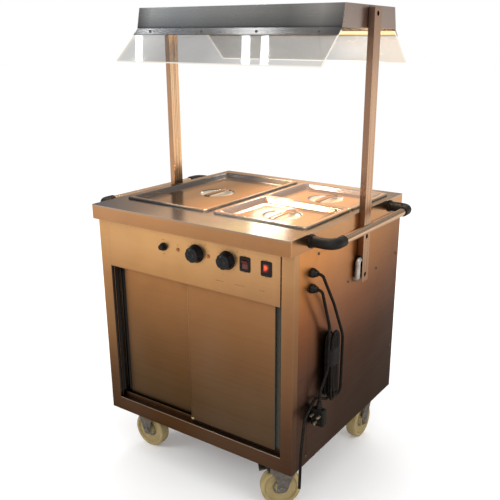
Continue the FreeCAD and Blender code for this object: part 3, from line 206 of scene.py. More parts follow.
def moulded(name, colour, rough, grain=900.0, worn=rgb(0.16, 0.15, 0.14), dirt=0.0):
    """Moulded plastic: spark-eroded grain, scuffs, paler rubbed edges and dust."""
    g = Graph(name)
    texture = g.noise(grain, 2.0)
    scuff = g.noise(90.0, 5.0, (1, 1, 1), 0.7)
    edge = g.edges(0.0008)
    tone = g.mix(g.spread(scuff, 0.52, 0.75, 0.0, 0.35), colour, worn)
    tone = g.mix(g.math("MULTIPLY", edge, 0.35), tone, worn)
    if dirt:
        tone = g.mix(g.spread(g.noise(34.0, 5.0), 0.42, 0.68, 0.0, dirt), tone, rgb(0.20, 0.15, 0.09))
    level = g.spread(scuff, 0.3, 0.75, rough, rough + 0.25)
    normal = g.bump(texture, 0.00012)
    return g.done(g.principled(Base_Color=tone, Roughness=level, Normal=normal, Specular_IOR_Level=0.3))


def rubber_cord():
    """Extruded cable sheath: faint lengthwise sheen, dust on its turns."""
    g = Graph("cord_rubber")
    dust = g.noise(120.0, 4.0)
    tone = g.mix(g.spread(dust, 0.5, 0.75, 0.0, 0.4), rgb(0.006, 0.005, 0.0045), rgb(0.035, 0.028, 0.022))
    normal = g.bump(g.noise(1400.0, 1.0), 0.0001)
    return g.done(g.principled(Base_Color=tone, Roughness=g.spread(dust, 0.3, 0.7, 0.48, 0.66), Normal=normal,
                               Specular_IOR_Level=0.22))


def nylon():
    """Cream cast nylon: mottled, scuffed and flecked, and darker towards the bottom."""
    g = Graph("castor_nylon")
    cloud = g.noise(38.0, 4.0)
    fleck = g.noise(420.0, 3.0)
    scuff = g.noise(150.0, 5.0, (1, 1, 1), 0.75)
    tone = g.mix(g.spread(cloud, 0.3, 0.7), rgb(0.39, 0.30, 0.13), rgb(0.31, 0.23, 0.09))
    tone = g.mix(g.spread(scuff, 0.5, 0.72, 0.0, 0.55), tone, rgb(0.25, 0.19, 0.11))
    tone = g.mix(g.spread(g.height, 0.10, 0.01, 0.0, 0.30), tone, rgb(0.28, 0.21, 0.10))
    tone = g.mix(g.spread(fleck, 0.62, 0.7, 0.0, 0.4), tone, rgb(0.12, 0.09, 0.06))
    normal = g.bump(scuff, 0.0003)
    return g.done(g.principled(Base_Color=tone, Roughness=0.46, Normal=normal, Subsurface_Weight=0.08,
                               Subsurface_Scale=0.004))


def pane_glass():
    """Float glass pane: faint grey body with painted shade and reflection varying across its width, edges
    given a painted cream glow, a painted warm lamp glow strongest on the rear pane towards its right end and
    along its top, and light smears.
    """
    g = Graph("pane_glass")
    parts = g.node("SeparateXYZ", {0: g.node("NewGeometry").outputs["True Normal"]})
    upright = g.math("MULTIPLY", parts.outputs["Z"], 0.734)
    facing = []
    for sign in (-1, 1):
        along = g.math("MULTIPLY", parts.outputs["Y"], sign * 0.679)
        facing.append(g.math("ABSOLUTE", g.math("ADD", along, upright)))
    face = g.spread(g.math("MAXIMUM", facing[0], facing[1]), 0.90, 0.96)
    smear = g.noise(16.0, 5.0, (1, 1, 1), 0.65)
    drip = g.noise(1.0, 4.0, (90, 14, 14), 0.7)
    away = g.node("LayerWeight", {0: 0.5}).outputs["Facing"]
    share = g.math("ADD", g.math("MULTIPLY", g.math("POWER", away, 5.0), 0.9), 0.045)
    # Painted shade and reflection: the grey seen through the front pane changes across its width; the rear
    # pane has one grey.
    tints = [(-0.30, 0.785), (-0.18, 0.655), (-0.04, 0.66), (0.10, 0.785), (0.37, 0.83)]
    tint = g.ramp(g.spread(g.width, -0.4, 0.4),
                  [((x + 0.4) / 0.8, rgb(grey, grey * 0.997, grey * 0.985)) for x, grey in tints])
    tint = g.mix(g.math("GREATER_THAN", g.depth, 0.1), tint, rgb(0.785, 0.782, 0.775))
    sight = g.node("BsdfTransparent", {0: tint}).outputs[0]
    blur = g.spread(smear, 0.4, 0.7, 0.012, 0.06)
    gloss = g.node("BsdfGlossy", {0: rgb(1, 1, 1), "Roughness": blur}).outputs[0]
    film = g.node("BsdfDiffuse", {0: rgb(0.9, 0.88, 0.84)}).outputs[0]
    body = g.node("MixShader", {0: share, 1: sight, 2: gloss}).outputs[0]
    haze = g.math("ADD", g.spread(smear, 0.45, 0.8, 0.0, 0.05), g.spread(drip, 0.62, 0.8, 0.0, 0.10))
    body = g.node("MixShader", {0: haze, 1: body, 2: film}).outputs[0]
    # Painted cream glow on the panes' cut edges, stronger on the rear pane short of its right end.
    behind = g.math("MULTIPLY", g.spread(g.depth, 0.05, 0.15), g.spread(g.width, 0.30, 0.20))
    rim = g.node("Emission", {0: rgb(1.0, 0.93, 0.82), 1: g.spread(behind, 0.0, 1.0, 1.0, 1.9)}).outputs[0]
    cut = g.node("MixShader", {0: 0.85, 1: sight, 2: rim}).outputs[0]
    # Painted cream glow along the border strips at both ends and along the lowest edge.
    low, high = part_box("glass_panels")
    side = g.spread(g.math("ABSOLUTE", g.width), high.x - 0.0028, high.x - 0.0014)
    foot = g.spread(g.height, low.z + 0.0036, low.z + 0.0022)
    border = g.math("MULTIPLY", g.math("MAXIMUM", side, foot), 0.8)
    # Painted warm lamp glow: strongest on the rear pane towards its right end, and along the rear pane's top.
    rear = g.math("GREATER_THAN", g.depth, 0.2)
    clamped = g.math("MULTIPLY", g.spread(g.height, 1.386, 1.392, 0.0, 0.7), rear)
    nearness = g.spread(g.width, 0.10, 0.37, 0.02, 0.20)
    lamp = g.math("MULTIPLY", nearness, g.spread(g.depth, 0.20, 0.26, 0.05, 1.0))
    lamp = g.math("ADD", lamp, clamped)
    glow = g.node("Emission", {0: rgb(1.0, 0.66, 0.32), 1: lamp}).outputs[0]
    body = g.node("AddShader", {0: body, 1: glow}).outputs[0]
    body = g.node("MixShader", {0: border, 1: body, 2: rim}).outputs[0]
    return g.done(g.node("MixShader", {0: face, 1: cut, 2: body}).outputs[0])


def quartz():
    """Clear lamp tube with a glowing warm coil."""
    g = Graph("quartz_glow")
    coil = g.noise(1.0, 1.0, (900, 2, 2))
    strength = g.spread(coil, 0.35, 0.65, 7.0, 14.0)
    return g.done(g.principled(Base_Color=rgb(1.0, 0.86, 0.66), Roughness=0.12,
                               Emission_Color=rgb(1.0, 0.62, 0.28), Emission_Strength=strength))


def glazed(name, colour):
    """Glazed ceramic: fine speckle and slight pooling of the glaze."""
    g = Graph(name)
    speck = g.noise(800.0, 2.0)
    tone = g.mix(g.spread(speck, 0.55, 0.7), colour, rgb(*[c * 0.7 for c in colour[:3]]))
    normal = g.bump(g.noise(60.0, 3.0), 0.0004)
    return g.done(g.principled(Base_Color=tone, Roughness=0.18, Normal=normal, Coat_Weight=0.5))


def lens(name, colour, glow):
    """Moulded lens with ribs and a light behind it."""
    g = Graph(name)
    ribs = g.noise(1.0, 1.0, (1500, 40, 300))
    tone = g.mix(g.spread(ribs, 0.4, 0.6), colour, rgb(*[c * 0.55 for c in colour[:3]]))
    strength = g.spread(ribs, 0.3, 0.7, glow * 0.5, glow)
    return g.done(g.principled(Base_Color=tone, Roughness=0.16, Normal=g.bump(ribs, 0.0002), Coat_Weight=0.4,
                               Emission_Color=colour, Emission_Strength=strength))


def lit_rocker():
    """Red rocker lit by a small lamp near its upper half."""
    g = Graph("rocker_lit")
    low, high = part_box("rocker_right")
    spot = Vector(((low.x * 0.62 + high.x * 0.38), low.y, low.z * 0.42 + high.z * 0.58))
    away = g.node("VectorMath", {0: g.points, 1: spot}, operation="DISTANCE").outputs["Value"]
    heart = g.spread(away, 0.0015, 0.0115, 1.0, 0.0)
    glow = g.math("MULTIPLY", heart, heart)
    tone = g.mix(heart, rgb(0.05, 0.006, 0.004), rgb(0.85, 0.08, 0.03))
    colour = g.mix(glow, rgb(0.8, 0.03, 0.01), rgb(1.0, 0.22, 0.08))
    ribs = g.noise(700.0, 2.0)
    return g.done(g.principled(Base_Color=tone, Roughness=0.2, Coat_Weight=0.5, Normal=g.bump(ribs, 0.0001),
                               Emission_Color=colour, Emission_Strength=g.math("MULTIPLY", glow, 2.6)))


def wool():
    """Mineral wool: yellow fibres in loose layers."""
    g = Graph("mineral_wool")
    fibre = g.noise(1.0, 6.0, (300, 300, 1600), 0.7)
    tone = g.mix(g.spread(fibre, 0.3, 0.7), rgb(0.40, 0.31, 0.10), rgb(0.72, 0.62, 0.30))
    return g.done(g.principled(Base_Color=tone, Roughness=0.95, Normal=g.bump(fibre, 0.003)))


def ink():
    """Faded print on the control panel."""
    g = Graph("panel_print")
    fade = g.noise(500.0, 3.0)
    tone = g.mix(g.spread(fade, 0.4, 0.7), rgb(0.10, 0.055, 0.035), rgb(0.22, 0.13, 0.08))
    return g.done(g.principled(Base_Color=tone, Roughness=0.6, Normal=g.bump(fade, 0.00005)))


def pale_floor():
    """Plain pale floor: it looks near white, and polished steel sees a painted reflection of a warm workshop
    floor, dark near the object as painted shadow and lighter further off, with painted dark patches.
    """
    g = Graph("floor_pale")
    grain = g.noise(3.0, 4.0)
    pale = g.mix(g.spread(grain, 0.3, 0.7), rgb(0.92, 0.92, 0.92), rgb(0.94, 0.94, 0.94))
    plain = g.node("BsdfDiffuse", {0: pale})
    lift = g.node("Emission", {0: rgb(1.0, 1.0, 1.0), 1: 0.09})
    plain = g.node("AddShader", {0: plain.outputs[0], 1: lift.outputs[0]})
    flat = g.node("VectorMath", {0: g.points, 1: (1, 1, 0)}, operation="MULTIPLY").outputs[0]
    away = g.node("VectorMath", {0: flat}, operation="LENGTH").outputs["Value"]
    # Painted reflection for glossy rays: painted shadow dark near the object, lighter and warmer further off.
    seen = g.ramp(g.spread(away, 0.3, 4.2), [
        (0.0, rgb(0.24, 0.19, 0.15)), (0.25, rgb(0.42, 0.35, 0.29)), (0.50, rgb(0.90, 0.79, 0.68)),
        (1.0, rgb(1.2, 1.08, 0.95))])
    # Painted dark patches in the reflected floor further off.
    sweep = g.node("VectorMath", {0: flat}, operation="NORMALIZE").outputs[0]
    patch = g.node("TexNoise", {"Vector": sweep, "Scale": 5.0, "Detail": 2.0}).outputs["Fac"]
    share = g.math("MULTIPLY", g.spread(patch, 0.35, 0.65, 0.0, 0.35), g.spread(away, 0.9, 2.6))
    seen = g.mix(share, seen, rgb(0.10, 0.075, 0.06))
    mirrored = g.node("Emission", {0: seen, 1: 1.0}).outputs[0]
    glossy = g.node("LightPath").outputs["Is Glossy Ray"]
    return g.done(g.node("MixShader", {0: glossy, 1: plain.outputs[0], 2: mirrored}).outputs[0])


# Tones of the sheets, as (height, colour) pairs: painted reflection and shade, which change with height.
WARM = [(0.16, (0.160, 0.074, 0.023)), (0.30, (0.240, 0.112, 0.036)), (0.46, (0.46, 0.240, 0.090)),
        (0.66, (0.62, 0.33, 0.135)), (0.78, (0.86, 0.52, 0.235)), (0.88, (0.92, 0.55, 0.25))]
LEAF = [(0.22, (0.180, 0.105, 0.043)), (0.30, (0.205, 0.118, 0.046)), (0.46, (0.335, 0.178, 0.078)),
        (0.66, (0.55, 0.280, 0.116))]
DUSKY = [(0.16, (0.075, 0.024, 0.007)), (0.30, (0.090, 0.028, 0.009)), (0.46, (0.16, 0.048, 0.015)),
         (0.62, (0.45, 0.160, 0.050)), (0.80, (0.95, 0.43, 0.14)), (0.88, (0.95, 0.44, 0.15))]
TOP = [(0.84, (0.60, 0.32, 0.145)), (0.8835, (0.66, 0.36, 0.165)), (0.8846, (0.52, 0.47, 0.41))]
BRIGHT = [(0.60, (0.60, 0.52, 0.43)), (0.90, (0.76, 0.68, 0.58)), (1.40, (0.62, 0.58, 0.54))]
SUNK = [(0.870, (0.80, 0.70, 0.58)), (0.8765, (0.76, 0.67, 0.56)), (0.8785, (0.66, 0.47, 0.33)),
        (0.8868, (0.66, 0.47, 0.33)), (0.8885, (0.68, 0.59, 0.49))]
GREY = [(1.385, (0.10, 0.10, 0.10)), (1.4065, (0.13, 0.13, 0.13)), (1.412, (0.26, 0.275, 0.285)),
        (1.44, (0.42, 0.435, 0.43)), (1.466, (0.52, 0.53, 0.53))]
PINKISH = [(1.38, (0.56, 0.47, 0.45)), (1.47, (0.52, 0.45, 0.44))]
POST = [(0.66, (0.42, 0.25, 0.14)), (0.90, (0.70, 0.47, 0.29)), (1.40, (0.70, 0.52, 0.38))]

# Tones across the width, as (x, colour) pairs: painted reflection and painted lamp glare along each sheet.
# Half strength stands for an unchanged tone in these, so that
# parts of a sheet can also be brighter.
TOP_RUN = [(-0.37, (0.24, 0.27, 0.33)), (-0.20, (0.30, 0.33, 0.38)), (-0.06, (0.50, 0.56, 0.68)),
           (0.08, (0.69, 0.78, 0.90)), (0.19, (0.80, 0.98, 1.00)), (0.245, (0.62, 0.74, 0.86)),
           (0.30, (0.38, 0.37, 0.35))]
LID_RUN = [(-0.33, (0.14, 0.155, 0.18)), (-0.20, (0.155, 0.165, 0.20)), (-0.05, (0.66, 0.58, 0.47)),
           (0.03, (0.72, 0.68, 0.70)), (0.30, (0.72, 0.68, 0.66))]
FRONT_RUN = [(-0.33, (0.43, 0.43, 0.44)), (0.0, (0.51, 0.52, 0.53)), (0.30, (0.47, 0.47, 0.51)),
             (0.345, (0.41, 0.40, 0.44))]
POST_RUN = [(-0.1, (0.72, 0.70, 0.66)), (0.1, (0.49, 0.47, 0.49))]
HOOD_RUN = [(-0.36, (0.42, 0.42, 0.42)), (-0.31, (0.95, 0.98, 1.00)), (-0.20, (0.72, 0.75, 0.78)),
            (-0.08, (0.62, 0.62, 0.62)), (0.06, (0.56, 0.55, 0.54)), (0.20, (0.44, 0.43, 0.42)),
            (0.30, (0.74, 0.70, 0.67)), (0.36, (0.40, 0.38, 0.37))]

# Painted light in these sheets: the height tones and runs across the width are painted reflection, shade and
# lamp glare, the front colours on the worktop and posts are painted shade, the sides' fade is painted shade
# towards the back, and the lids' dish gets a painted lamp glow.
WORKTOP = steel("steel_worktop", "X", (0.02, 1.0, 0.6), TOP, 0.20, 0.5, 0.016, along=TOP_RUN, level="Z",
                front=(0.78, 0.78, 0.82), deepest=0.40)
FRONT = steel("steel_front", "X", (0.02, 0.2, 1.0), WARM, 0.34, along=FRONT_RUN)
DOORS = steel("steel_doors", "X", (0.02, 0.2, 1.0), LEAF, 0.38)
SIDES = steel("steel_sides", "Y", (0.2, 0.02, 1.0), DUSKY, 0.36, 1.0, 0.025, fade=0.62, deepest=0.3)
BACK = steel("steel_back", "X", (0.02, 0.2, 1.0), WARM, 0.36)
HOOD = steel("steel_hood", "X", (0.02, 0.3, 1.0), GREY, 0.26, 0.6, 0.02, along=HOOD_RUN, wear=0.3)
HOOD_END = steel("steel_hood_end", "Y", (0.3, 0.02, 1.0), PINKISH, 0.30, 0.6, 0.02)
POSTS = steel("steel_posts", "Z", (1.0, 1.0, 0.05), POST, 0.28, 0.08, along=POST_RUN,
              front=(0.50, 0.46, 0.46), wear=0.15)
INNER = steel("steel_inner", "X", (0.02, 0.4, 1.0), WARM, 0.36)
LIDS = steel("steel_lids", "X", (0.3, 1.0, 0.05), SUNK, 0.15, 0.5, 0.010, along=LID_RUN, deepest=0.75,
             dish=(0.8750, 0.8734))
PANS = steel("steel_pans", "X", (0.3, 1.0, 0.05), BRIGHT, 0.17, 0.5, 0.012, along=LID_RUN, deepest=0.8)
BARS = steel("steel_bars", "Y", (1.0, 0.05, 1.0),
             [(0.6, (0.62, 0.40, 0.24)), (0.9, (0.85, 0.60, 0.40))], 0.24)
MIRROR = steel("steel_reflector", "X", (0.02, 0.3, 1.0), BRIGHT, 0.12, 1.0, 0.01)
# A darker copy of the steel: painted shade on the lips inside the finger channels.
SHADED_LIP = steel("steel_shaded_lip", "Z", (1.0, 0.3, 0.05),
                  [(0.2, (0.16, 0.15, 0.13)), (0.7, (0.24, 0.22, 0.19))], 0.40)
# A paler copy of the steel: painted highlight along the sill's edge.
HIGHLIGHT_HEM = steel("steel_hem_highlight", "X", (0.02, 0.2, 1.0),
            [(0.2, (0.55, 0.43, 0.32)), (0.9, (0.8, 0.65, 0.5))], 0.30, 1.0, 0.01)
ZINC = plated("zinc_plate", rgb(0.36, 0.35, 0.33))
SCREW = plated("screw_oxide", rgb(0.10, 0.09, 0.08), 0.34)
SLEEVE = plated("sleeve_steel", rgb(0.74, 0.73, 0.72), 0.26)
BLACK = moulded("black_moulding", rgb(0.007, 0.0065, 0.006), 0.36, 900.0, rgb(0.06, 0.055, 0.05))
KNOBS = moulded("knob_moulding", rgb(0.005, 0.006, 0.008), 0.22, 1500.0, rgb(0.03, 0.034, 0.045))
CHANNEL = moulded("channel_moulding", rgb(0.022, 0.018, 0.016), 0.45, 600.0, rgb(0.10, 0.08, 0.07))
PEDAL = moulded("pedal_moulding", rgb(0.016, 0.015, 0.014), 0.5, 500.0, rgb(0.20, 0.18, 0.16), 0.3)
DARK_SWITCH = lens("rocker_dark", rgb(0.09, 0.010, 0.008), 0.25)
POINTER = moulded("knob_pointer", rgb(0.16, 0.17, 0.19), 0.4)
# A lighter copy of the channel plastic: painted light on the right finger channel's liner.
LIT_CHANNEL = moulded("channel_lit_copy", rgb(0.055, 0.056, 0.045), 0.40, 600.0, rgb(0.12, 0.12, 0.10))
LINERS = {"left": CHANNEL, "right": LIT_CHANNEL}
STRAP = moulded("strap_rubber", rgb(0.008, 0.008, 0.008), 0.55, 700.0, rgb(0.05, 0.05, 0.05))
CORD = rubber_cord()
NYLON = nylon()
GLASS = pane_glass()
QUARTZ = quartz()
CERAMIC = glazed("lamp_ceramic", rgb(0.80, 0.78, 0.72))
AMBER = lens("neon_amber", rgb(0.34, 0.095, 0.02), 0.15)
WOOL = wool()
INK = ink()
BRASS = plated("pin_brass", rgb(0.60, 0.50, 0.34), 0.30)
SHEATH = plated("element_sheath", rgb(0.10, 0.09, 0.08), 0.5)
LIT_SWITCH = lit_rocker()


# ------------------------------------------------------------------ finishes on the CAD nodes

CASTORS = {"fl": (-0.306, -0.238), "fr": (0.306, -0.238), "bl": (-0.306, 0.258), "br": (0.306, 0.258)}
CASTOR_FORKS = ["castor_fork_" + word for word in CASTORS]
CASTOR_WHEELS = ["castor_wheel_" + word for word in CASTORS]

FINISHES = {
    WORKTOP: ["worktop"],
    FRONT: ["stiles", "bottom_rail", "control_panel", "head_track"],
    DOORS: ["door_left", "door_right"],
    SIDES: ["side_panels"],
    BACK: ["back_panel", "base_panel"],
    HOOD: ["gantry_hood"],
    HOOD_END: ["hood_ends"],
    POSTS: ["gantry_posts"],
    INNER: ["well_tank", "well_divider", "cupboard_liner", "shelf_runners", "cupboard_shelf"],
    LIDS: ["lid_full", "lid_front", "lid_rear"],
    PANS: ["pan_full", "pan_front", "pan_rear"],
    BARS: ["handle_bars"],
    MIRROR: ["lamp_reflector"],
    ZINC: ["castor_plates", "castor_bolts"] + CASTOR_FORKS,
    SCREW: ["post_screws", "pan_head_screws"],
    SLEEVE: ["lamp_conduit"],
    BLACK: ["handle_elbows", "switch_housings", "cable_glands", "mains_plug", "thermostats", "terminal_block",
            "reset_button"],
    KNOBS: ["knob_left", "knob_right"],
    PEDAL: ["brake_pedal_fl", "brake_pedal_fr"],
    DARK_SWITCH: ["rocker_left"],
    CORD: ["mains_cords", "wiring"],
    NYLON: CASTOR_WHEELS,
    GLASS: ["glass_panels"],
    QUARTZ: ["quartz_lamps"],
    CERAMIC: ["lamp_holders"],
    AMBER: ["neon_lamps"],
    WOOL: ["insulation"],
    SHEATH: ["heating_elements"],
    LIT_SWITCH: ["rocker_right"],
}

# Edge radii in millimetres, where they aren't the usual one.
EDGE_ROUNDING = {
    0.6: ["rocker_left", "rocker_right", "post_screws"],
    0.8: ["switch_housings", "reset_button", "cable_glands"],
    0.9: ["gantry_posts"],
    1.0: ["mains_plug", "handle_elbows"],
    1.1: ["worktop", "knob_left", "knob_right"],
    1.2: CASTOR_FORKS,
    1.5: CASTOR_WHEELS,
    1.6: ["brake_pedal_fl", "brake_pedal_fr"],
}
ROUNDING_OF = {name: radius for radius, names in EDGE_ROUNDING.items() for name in names}
USUAL_ROUNDING = 0.5
JOINING_DISTANCE = 0.00002
PLAIN_EDGES = {"mains_cords", "wiring", "heating_elements", "lamp_conduit", "insulation", "quartz_lamps"}


def finish_cad_nodes():
    """Gives each CAD node its material, and softens its edges without touching its mesh."""
    for material, names in FINISHES.items():
        for name in names:
            node = nodes[name]
            node.data.materials.clear()
            node.data.materials.append(material)
            weld = node.modifiers.new("joined_faces", "WELD")
            weld.merge_threshold = JOINING_DISTANCE
            if name in PLAIN_EDGES:
                continue
            soft = node.modifiers.new("edge_rounding", "BEVEL")
            soft.width = ROUNDING_OF.get(name, USUAL_ROUNDING) * MM
            soft.segments = 2
            soft.limit_method = "ANGLE"
            soft.angle_limit = math.radians(34)
            soft.use_clamp_overlap = True
            soft.harden_normals = False
            steady = node.modifiers.new("steady_normals", "WEIGHTED_NORMAL")
            steady.keep_sharp = True
            steady.weight = 80


# ------------------------------------------------------------------ mesh helpers

def add_piece(name, mesh, material, body, sharp=35):
    """Puts a finished mesh in the scene, riding on a body."""
    piece = bpy.data.objects.new(name, mesh)
    bpy.context.scene.collection.objects.link(piece)
    mesh.materials.append(material)
    for face in mesh.polygons:
        face.use_smooth = True
    mesh.set_sharp_from_angle(angle=math.radians(sharp))
    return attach(piece, body)


def finished_mesh(name, bm):
    """The mesh of finished faces, all turned outwards."""
    bmesh.ops.recalc_face_normals(bm, faces=bm.faces)
    mesh = bpy.data.meshes.new(name)
    bm.to_mesh(mesh)
    bm.free()
    return mesh


def loft(name, rings, cap_first=False, cap_last=False, closed=False):
    """A skin through rings of points, each ring a closed loop of the same length."""
    bm = bmesh.new()
    loops = [[bm.verts.new(point) for point in ring] for ring in rings]
    pairs = list(zip(loops, loops[1:]))
    if closed:
        pairs.append((loops[-1], loops[0]))
    count = len(rings[0])
    for low, high in pairs:
        for i in range(count):
            j = (i + 1) % count
            bm.faces.new((low[i], low[j], high[j], high[i]))
    if cap_first:
        bm.faces.new(list(reversed(loops[0])))
    if cap_last:
        bm.faces.new(loops[-1])
    return finished_mesh(name, bm)


def rounded_rectangle(low_x, high_x, low_y, high_y, radius, z, corner=8, side=9):
    """Points round a rectangle with round corners."""
    radius = max(radius, 0.00005)
    centres = [(high_x - radius, high_y - radius, 0), (low_x + radius, high_y - radius, 90),
               (low_x + radius, low_y + radius, 180), (high_x - radius, low_y + radius, 270)]
    arcs = []
    for cx, cy, first in centres:
        arcs.append([Vector((cx + radius * math.cos(math.radians(first + 90 * i / corner)),
                             cy + radius * math.sin(math.radians(first + 90 * i / corner)), z))
                     for i in range(corner + 1)])
    ring = []
    for arc, following in zip(arcs, arcs[1:] + arcs[:1]):
        ring += arc
        ring += [arc[-1].lerp(following[0], (i + 1) / (side + 1)) for i in range(side)]
    return ring


def circle_like(ring, centre, radius, z):
    """Points on a circle, in the same directions from the centre as another ring's points."""
    points = []
    for point in ring:
        away = Vector((point.x - centre.x, point.y - centre.y, 0)).normalized()
        points.append(Vector((centre.x + away.x * radius, centre.y + away.y * radius, z)))
    return points


def ring_about(centre, axis, radius, count):
    """Points on a circle about an axis."""
    side = axis.orthogonal().normalized()
    up = axis.normalized().cross(side)
    angles = [math.tau * i / count for i in range(count)]
    return [centre + (side * math.cos(angle) + up * math.sin(angle)) * radius for angle in angles]


def turned(name, centre, axis, profile, count):
    """A skin turned about an axis; profile holds (distance along the axis, radius), its ends closed."""
    axis = axis.normalized()
    rings = [ring_about(centre + axis * along, axis, radius, count) for along, radius in profile]
    return loft(name, rings, True, True)


def wire_piece(name, points, radius, material, body, closed=False):
    """A round cord along a smooth curve through the points."""
    curve = bpy.data.curves.new(name, "CURVE")
    curve.dimensions = "3D"
    curve.bevel_depth = radius
    curve.bevel_resolution = 4
    curve.resolution_u = 8
    curve.use_fill_caps = True
    line = curve.splines.new("NURBS")
    line.points.add(len(points) - 1)
    for spot, point in zip(line.points, points):
        spot.co = (point[0], point[1], point[2], 1)
    line.use_endpoint_u = not closed
    line.use_cyclic_u = closed
    line.order_u = 4
    made = bpy.data.objects.new(name, curve)
    bpy.context.scene.collection.objects.link(made)
    bpy.context.view_layer.update()
    mesh = bpy.data.meshes.new_from_object(made.evaluated_get(bpy.context.evaluated_depsgraph_get()))
    bpy.data.objects.remove(made)
    mesh.name = name
    mesh.materials.clear()
    return add_piece(name, mesh, material, body, 50)


def soft_bar(name, low, high, axis, radius, material, body):
    """A bar filling a box along one axis, with its long edges and its ends eased."""
    across, up = [i for i in range(3) if i != axis]
    rings = []
    start, end, ease = low[axis], high[axis], radius * 0.3
    for inset, along in ((radius, start), (ease, start + ease), (0, start + radius),
                         (0, end - radius), (ease, end - ease), (radius, end)):
        ring = []
        for point in rounded_rectangle(low[across] + inset, high[across] - inset, low[up] + inset,
                                       high[up] - inset, radius * 1.01 - inset, 0, 3, 1):
            spot = [0, 0, 0]
            spot[across], spot[up], spot[axis] = point.x, point.y, along
            ring.append(Vector(spot))
        rings.append(ring)
    return add_piece(name, loft(name, rings, True, True), material, body, 40)


def upright_section(name, outline, low, high, material, body):
    """A folded section standing on end: its outline, seen from above, run from one height to another."""
    rings = [[Vector((x, y, z)) for x, y in outline] for z in (low, high)]
    return add_piece(name, loft(name, rings, True, True), material, body, 30)


def thicken(piece, thickness):
    """Gives a sheet its gauge, inwards from the side that shows."""
    solid = piece.modifiers.new("gauge", "SOLIDIFY")
    solid.thickness = thickness
    solid.offset = -1
    solid.use_even_offset = True
    return piece


# ------------------------------------------------------------------ pans and lids

def inset_rings(low, high, steps):
    """Rings inside a box; steps holds (inset, corner radius in millimetres, height) for each."""
    return [rounded_rectangle(low.x + inset, high.x - inset, low.y + inset, high.y - inset, corner * MM, z)
            for inset, corner, z in steps]


def pan_piece(which):
    """Deep-drawn pan: rolled rim, bead under it, tapered walls and a round-bottomed corner."""
    low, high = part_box("pan_" + which)
    top, floor = high.z, low.z
    steps = [(0.0, 14, top - 0.0030), (0.0, 14, top - 0.0010), (0.0006, 14, top - 0.0002),
             (0.0016, 13.5, top), (0.0085, 12, top), (0.0108, 14, top - 0.0008),
             (0.0120, 17, top - 0.0030), (0.0128, 22, top - 0.0200), (0.0136, 24, top - 0.0260),
             (0.0140, 25, top - 0.0300), (0.0180, 28, floor + 0.0200),
             (0.0200, 28, floor + 0.0090), (0.0240, 26, floor + 0.0034), (0.0310, 24, floor + 0.0013),
             (0.0400, 20, floor + 0.0012)]
    rings = inset_rings(low, high, steps)
    name, body = "pan_pressing_" + which, "pan_" + which
    piece = add_piece(name, loft(name, rings, cap_last=True), PANS, body, 60)
    thicken(piece, -0.0009)
    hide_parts(body)


def lid_piece(which):
    """Pressed lid: rolled rim, walls sloping down to a sunk flat panel, and a round finger dish."""
    low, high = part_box("lid_" + which)
    top = high.z
    panel = top - 0.0146
    bowl = low.z + 0.0012
    centre = Vector(((low.x + high.x) / 2, (low.y + high.y) / 2, 0))
    rim = [(0.0, 14, top - 0.0014), (0.0, 14, top - 0.0006), (0.0005, 14, top - 0.0001),
           (0.0012, 13.5, top), (0.0110, 11, top), (0.0135, 11, top - 0.0003), (0.0155, 12, top - 0.0010),
           (0.0170, 12, top - 0.0019), (0.0190, 13, top - 0.0033), (0.0315, 17, top - 0.0121),
           (0.0330, 18, top - 0.0130), (0.0350, 18, top - 0.0137), (0.0460, 18, top - 0.0140),
           (0.0490, 18, top - 0.0144), (0.0510, 18, panel), (0.0560, 18, panel)]
    rings = inset_rings(low, high, rim)
    outer = rings[-1]
    for radius, z in ((0.0625, panel), (0.0605, panel - 0.0001), (0.0590, panel - 0.0007),
                      (0.0578, panel - 0.0016), (0.0550, panel - 0.0036), (0.0530, bowl + 0.0008),
                      (0.0500, bowl + 0.0002), (0.0440, bowl), (0.0300, bowl), (0.0120, bowl)):
        rings.append(circle_like(outer, centre, radius, z))
    name, body = "lid_pressing_" + which, "lid_" + which
    piece = add_piece(name, loft(name, rings, cap_last=True), LIDS, body, 60)
    thicken(piece, -0.0010)
    strap_piece(which, centre, panel)
    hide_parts(body)


def strap_piece(which, centre, panel):
    """Handle strap across the dish: a flat bar with rolled edges, dipping slightly at its welded ends."""
    half_width, half_length, thick = 0.0118, 0.0640, 0.0022
    rings = []
    count = 25
    for i in range(count):
        along = -1 + 2 * i / (count - 1)
        y = centre.y + along * half_length
        lift = 0.0016 * (1 - abs(along) ** 3)
        taper = 1.0
        if abs(along) >= 0.86:
            taper = math.sqrt(max(0.0, 1 - ((abs(along) - 0.86) / 0.14) ** 2)) * 0.5 + 0.5
        width = half_width * taper
        z = panel + 0.0002 + lift
        edge = min(0.0009, width * 0.5)
        ring = [(-width, 0.0004), (-width + edge, 0.0), (width - edge, 0.0), (width, 0.0004),
                (width, thick - 0.0004), (width - edge, thick), (-width + edge, thick),
                (-width, thick - 0.0004)]
        rings.append([Vector((centre.x + x, y, z + up)) for x, up in ring])
    name = "lid_strap_" + which
    add_piece(name, loft(name, rings, True, True), LIDS, "lid_" + which, 40)


# ------------------------------------------------------------------ front of the cabinet

OPENING = 0.3246  # half the width of the door opening


